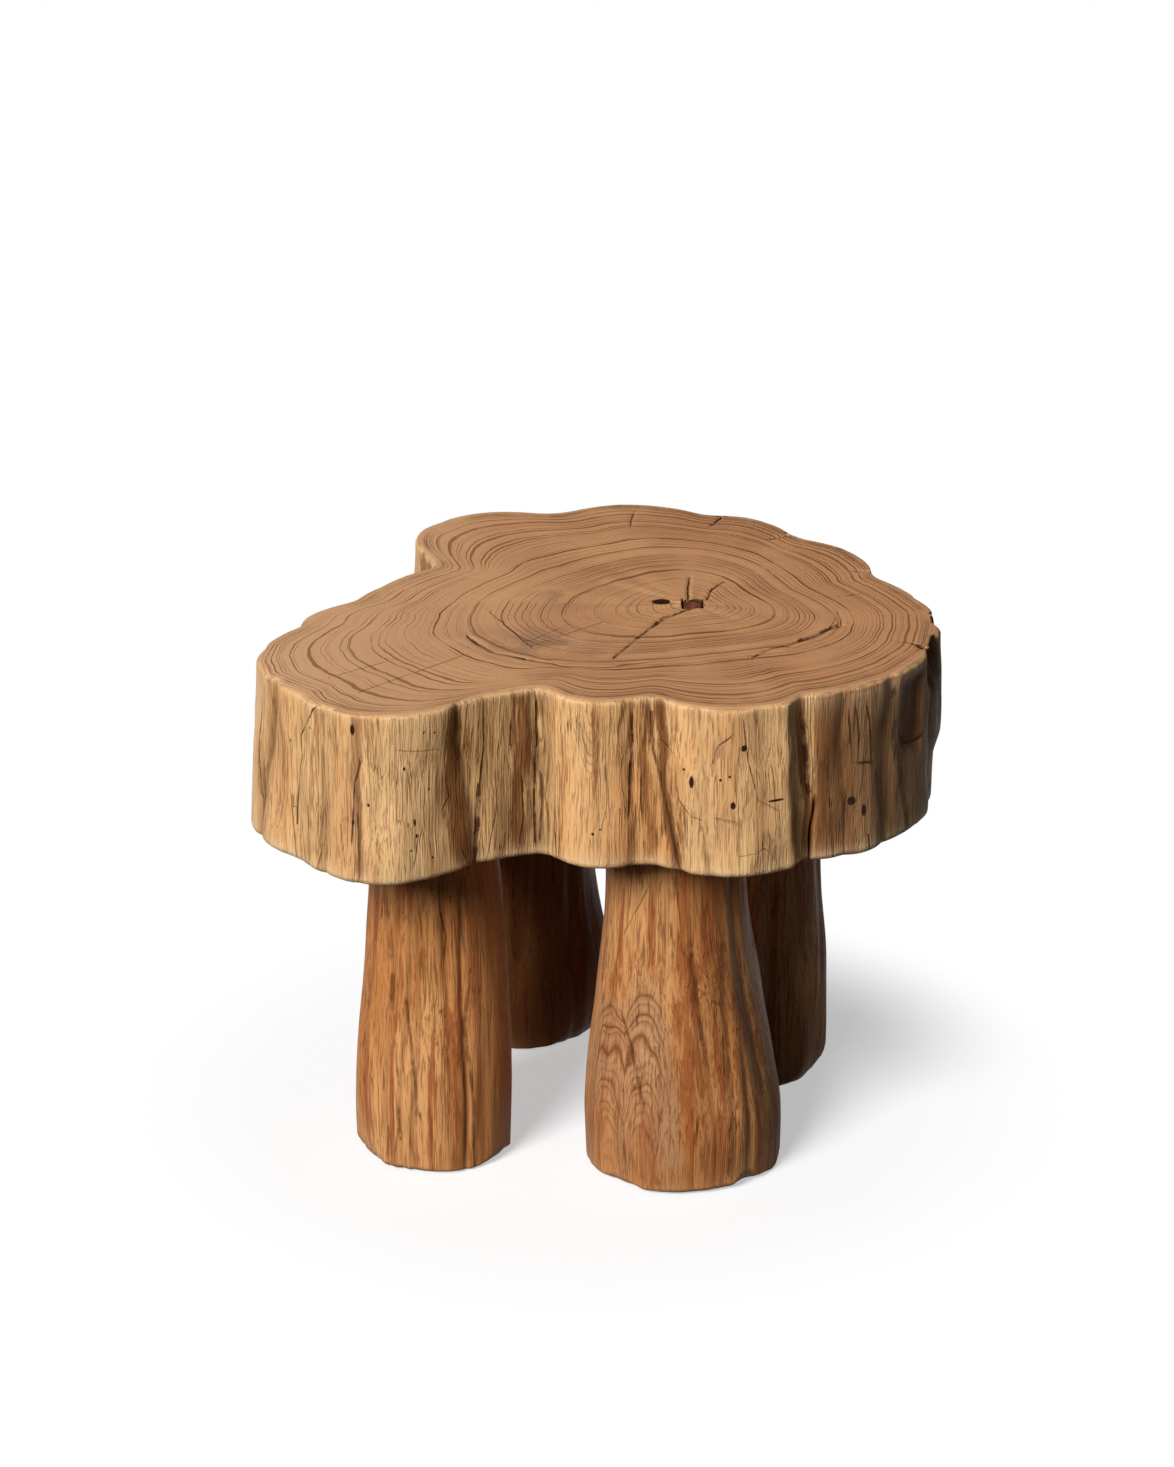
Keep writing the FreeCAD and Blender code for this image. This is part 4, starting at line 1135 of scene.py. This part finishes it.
def carve_leg(name):
    """One leg: rows of points from the sole's middle, up its side, to the middle of its top.

    Half width at a height is the leg's own line times slow lobes round it, plus drift, less its gouges' bell
    curves. The arch measure grows from each arch's foot like an ellipse, the least of the arches counting.
    """
    half_widths, leans, seed, dark = LEG_FORMS[name]
    low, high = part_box("leg_" + name)
    around, angle = LEG_AROUND, LEG_AROUND * 2 * np.pi
    up = np.linspace(0, 1, LEG_SIDE_ROWS)[:, None]
    lobes = 1 + 0.03 * np.sin(2 * angle) * np.cos(seed + up)
    lobes = lobes + 0.02 * np.sin(3 * angle) * np.cos(2 * seed + 2 * up)
    half = through(LEG_STATIONS, half_widths, up) * MM * lobes
    for k, (size, waves, levels) in enumerate([(1.6, 14, 4), (0.7, 44, 5), (0.25, 120, 6)]):
        half = half + size * MM * drift(around, up, waves, levels, seed + 10 * k)
    painted_shade = np.zeros_like(half)
    for k, (degrees, depth, width, start, stop) in enumerate(LEG_GOUGES[name]):
        off = nearest_way(around - degrees / 360) * 2 * np.pi * half + 2 * MM * np.sin(6 * up + k)
        bell = np.exp(-((off / (width * MM)) ** 2))
        bell = bell * hump(start - 0.15, start + 0.1, stop - 0.1, stop + 0.15, up)
        half = half - depth * MM * bell
        painted_shade = np.maximum(painted_shade, bell)
    sole_edge = (4 + 2.5 * drift(around, 0 * around, 18, 1, seed + 30)) * MM
    for degrees, width, rise in SOLE_CUTS[name]:
        off = nearest_way(around - degrees / 360) * 360
        sole_edge = sole_edge + rise * MM * np.exp(-((off / width) ** 4))
    x = (low.x + high.x) / 2 + through(LEG_STATIONS, leans, up) * MM
    y = (low.y + high.y) / 2
    crown_z = high.z + LEG_INTO_SLAB
    zones = [
        rows_round(x[0], y, half[0] * SOLE_SIZE, low.z + sole_edge * SOLE_RISE),
        rows_round(x, y, half, low.z + sole_edge + up * (high.z - low.z - sole_edge)),
        rows_round(x[-1], y, half[-1] * CROWN_SIZE, crown_z),
    ]
    rows = np.concatenate(zones)
    height = rows[..., 2] - low.z
    rise = height / (high.z - low.z)
    arch = np.ones(height.shape)
    for degrees, tall, weight in FLAMES.get(name, []):
        off = (around - degrees / 360) * 2 * np.pi * FLAME_RADIUS
        off = off + 2.5 * MM * drift(around, rise, 60, 12, seed + 40)
        bow = weight * ((tall * np.abs(off)) ** FLAME_BLUNT + height ** FLAME_BLUNT) ** (1 / FLAME_BLUNT)
        arch = np.minimum(arch, bow + 7 * MM * drift(around, rise, 40, 16, seed + 50))
    checks = [(half_width, darkness, [(degrees / 360 * LEG_GIRTH, z) for degrees, z in points])
              for half_width, darkness, points in LEG_CHECKS[name]]
    check_off, check_dark = beside(checks, around * LEG_GIRTH * MM + 0 * arch, rows[..., 2], 5 * MM)
    # Painted shade: in the gouges, and over the whole leg by its painted darkness
    painted_shade = np.maximum(over(zones, 0, 0.6 * painted_shade, 0), dark)
    worn_and_lit = over(zones, 0.6, np.exp(-up / 0.03), 0)
    # Painted light on the shaded right side, laid in with the wear
    for degrees, width, strength in LEG_PAINTED_LIGHT.get(name, []):
        worn_and_lit = np.maximum(worn_and_lit, strength * np.exp(-(((around * 360 - degrees) / width) ** 2)))
    made = skin(
        "carved_leg_" + name,
        rows,
        (x[0, 0], y, low.z),
        (x[-1, 0], y, crown_z),
        {"arch": arch, "painted_shade": painted_shade, "wear_and_painted_light": worn_and_lit, "check": check_off, "check_dark": check_dark},
    )
    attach(made, "root")
    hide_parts("leg_" + name)
    return made


LEG_ORANGE = tone(178, 116, 64)
LEG_PALE = tone(204, 148, 94)
LEG_DARK = tone(98, 54, 26)
LEG_RED = tone(150, 82, 42)
LEG_ASH = tone(178, 136, 98)
LEG_CHECK = tone(72, 36, 16)
LEG_RINGS = 105.0

leg_wood, tree, position, strands = wood("carved leg, long grain", 0.035)
years = ring_lines(position, measure(tree, "arch"), LEG_RINGS, 3 * MM)
inside = span(measure(tree, "arch"), 0.145, 0.172, 1.0, 0.0)
inside = times(inside, span(measure(tree, "arch"), 0.03, 0.10, 0.3, 1.0))
colour = blend(span(strands["Tone"], 0.38, 0.62), LEG_ORANGE, LEG_PALE)
colour = blend(span(strands["Streak"], 0.50, 0.60, 0.0, 0.85), colour, LEG_RED)
ashen = times(inside, span(strands["Patch"], 0.4, 0.6, 0.35, 0.8))
colour = blend(ashen, colour, LEG_ASH)
bands = ring_lines(position, measure(tree, "arch"), LEG_RINGS, 9 * MM)
colour = blend(times(bands, times(inside, 0.5)), colour, LEG_RED)
lined = times(years, times(inside, 0.65))
colour = blend(lined, colour, LEG_DARK)
colour = blend(span(strands["Fibre"], 0.50, 0.62, 0.0, 0.6), colour, LEG_DARK)
checked = drawn_lines(position, "check")
# Painted shade in the gouges and over shaded legs; pale wear, and painted light on the front left leg's right
# side
colour = tinted(colour, [
    (strands["Thread"], 0.7, LEG_DARK),
    (strands["Tick"], 0.25, LEG_DARK),
    (measure(tree, "painted_shade"), 0.6, LEG_DARK),
    (checked, 0.85, LEG_CHECK),
    (measure(tree, "wear_and_painted_light"), 0.3, LEG_PALE),
])
relief = lowered(strands["Fibre"], [(strands["Thread"], 0.8), (checked, 1.2), (lined, 0.8)])
dress(tree, strands, colour, (0.46, 0.62), relief, 0.5, 0.9 * MM)
for name in LEG_NAMES:
    carve_leg(name).data.materials.append(leg_wood)


# Tenons and fox wedges
# One turned tenon per leg, half in the leg and half in the slab, with a wedge in the kerf of its upper end.
# They are hidden inside the joints; the CAD shapes stay and only take their finish here.

TENON_PALE = tone(206, 172, 126)
TENON_BROWN = tone(170, 128, 82)
WEDGE_BROWN = tone(140, 96, 58)
WEDGE_DARK = tone(104, 66, 38)


def inner_wood(name, pale, dark):
    """Plain long-grained wood for a hidden piece: two tones along the streaks, with fine fibre relief."""
    made, tree, _, strands = wood(name, 0.03)
    colour = blend(span(strands["Streak"], 0.35, 0.7), pale, dark)
    colour = blend(span(strands["Fibre"], 0.5, 0.75, 0.0, 0.4), colour, dark)
    dress(tree, strands, colour, (0.5, 0.62), strands["Fibre"], 0.4, 0.5 * MM)
    return made


tenon_wood = inner_wood("turned tenon wood", TENON_PALE, TENON_BROWN)
wedge_wood = inner_wood("cleft wedge wood", WEDGE_BROWN, WEDGE_DARK)
for name in LEG_NAMES:
    for node, finish in (("tenon_" + name, tenon_wood), ("wedge_" + name, wedge_wood)):
        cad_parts[node].data.materials.clear()
        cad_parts[node].data.materials.append(finish)


# Floor, light and camera
# A plain white studio floor that runs out of the picture, one broad soft lamp from the upper left, a weak one
# from behind, and a dim sky.

FLOOR_HALF = 30.0
WHITE = (1, 1, 1, 1)
DULL_WHITE = (0.05, 0.05, 0.05, 1)

# How much of the shadow shows on the floor, from under the stool out to where it ends
SHADOW_SHOWN = 0.52
SHADOW_NEAR = 0.24
SHADOW_FAR = 0.40

# How strongly the sky lights the stool, next to the white that the camera sees
SKY_LIGHT = 0.03

floor_mesh = bpy.data.meshes.new("studio_floor")
corners = [(x * FLOOR_HALF, y * FLOOR_HALF, 0) for x, y in ((-1, -1), (1, -1), (1, 1), (-1, 1))]
floor_mesh.from_pydata(corners, [], [(0, 1, 2, 3)])
floor = bpy.data.objects.new("studio_floor", floor_mesh)
bpy.context.scene.collection.objects.link(floor)

paper = bpy.data.materials.new("white studio paper")
paper.use_nodes = True
tree = paper.node_tree
tree.nodes.remove(tree.nodes["Principled BSDF"])
path = place(tree, "ShaderNodeLightPath").outputs
mirrored = maths("MAXIMUM", path["Is Glossy Ray"], path["Is Transmission Ray"])
seen = maths("MAXIMUM", path["Is Camera Ray"], mirrored)
glow = place(tree, "ShaderNodeEmission", {"Color": WHITE, "Strength": 1.0}).outputs[0]
bright = place(tree, "ShaderNodeBsdfDiffuse", {"Color": WHITE}).outputs[0]
dull = place(tree, "ShaderNodeBsdfDiffuse", {"Color": DULL_WHITE}).outputs[0]
spot = place(tree, "ShaderNodeTexCoord").outputs["Object"]
far = place(tree, "ShaderNodeVectorMath", {0: spot}, operation="LENGTH").outputs["Value"]
shadow = span(far, SHADOW_NEAR, SHADOW_FAR, SHADOW_SHOWN, 0.0)
shown = place(tree, "ShaderNodeMixShader", {0: shadow, 1: glow, 2: bright}).outputs[0]
surface = place(tree, "ShaderNodeMixShader", {0: seen, 1: dull, 2: shown}).outputs[0]
tree.links.new(surface, tree.nodes["Material Output"].inputs["Surface"])
floor_mesh.materials.append(paper)


def sun(name, energy, breadth, tilt, turn):
    """A sun lamp of an angular breadth, tilted away from straight down and turned, all in degrees."""
    data = bpy.data.lights.new(name, "SUN")
    data.energy = energy
    data.angle = math.radians(breadth)
    lamp = bpy.data.objects.new(name, data)
    lamp.rotation_euler = (math.radians(tilt), 0, math.radians(turn))
    bpy.context.scene.collection.objects.link(lamp)
    return lamp


sun("soft_key", 4.7, 26, 55, -33)
fill = sun("back_fill", 1.3, 8, -89, 8)
fill.visible_glossy = False

world = bpy.data.worlds.new("dim_sky")
world.use_nodes = True
bpy.context.scene.world = world
tree = world.node_tree
sky = tree.nodes["Background"]
sky.inputs["Color"].default_value = WHITE
path = place(tree, "ShaderNodeLightPath").outputs
seen = maths("MAXIMUM", path["Is Camera Ray"], path["Is Transmission Ray"])
tree.links.new(span(seen, 0.0, 1.0, SKY_LIGHT, 1.0), sky.inputs["Strength"])

camera_data = bpy.data.cameras.new("photo_camera")
camera_data.lens = 119.95
camera_data.sensor_width = 36.0
camera = bpy.data.objects.new("photo_camera", camera_data)
camera.location = (-0.0015, -3.6415, 1.7629)
camera.rotation_euler = (math.radians(68.365), 0, math.radians(0.16))
bpy.context.scene.collection.objects.link(camera)
bpy.context.scene.camera = camera
bpy.context.scene.view_settings.view_transform = "Standard"
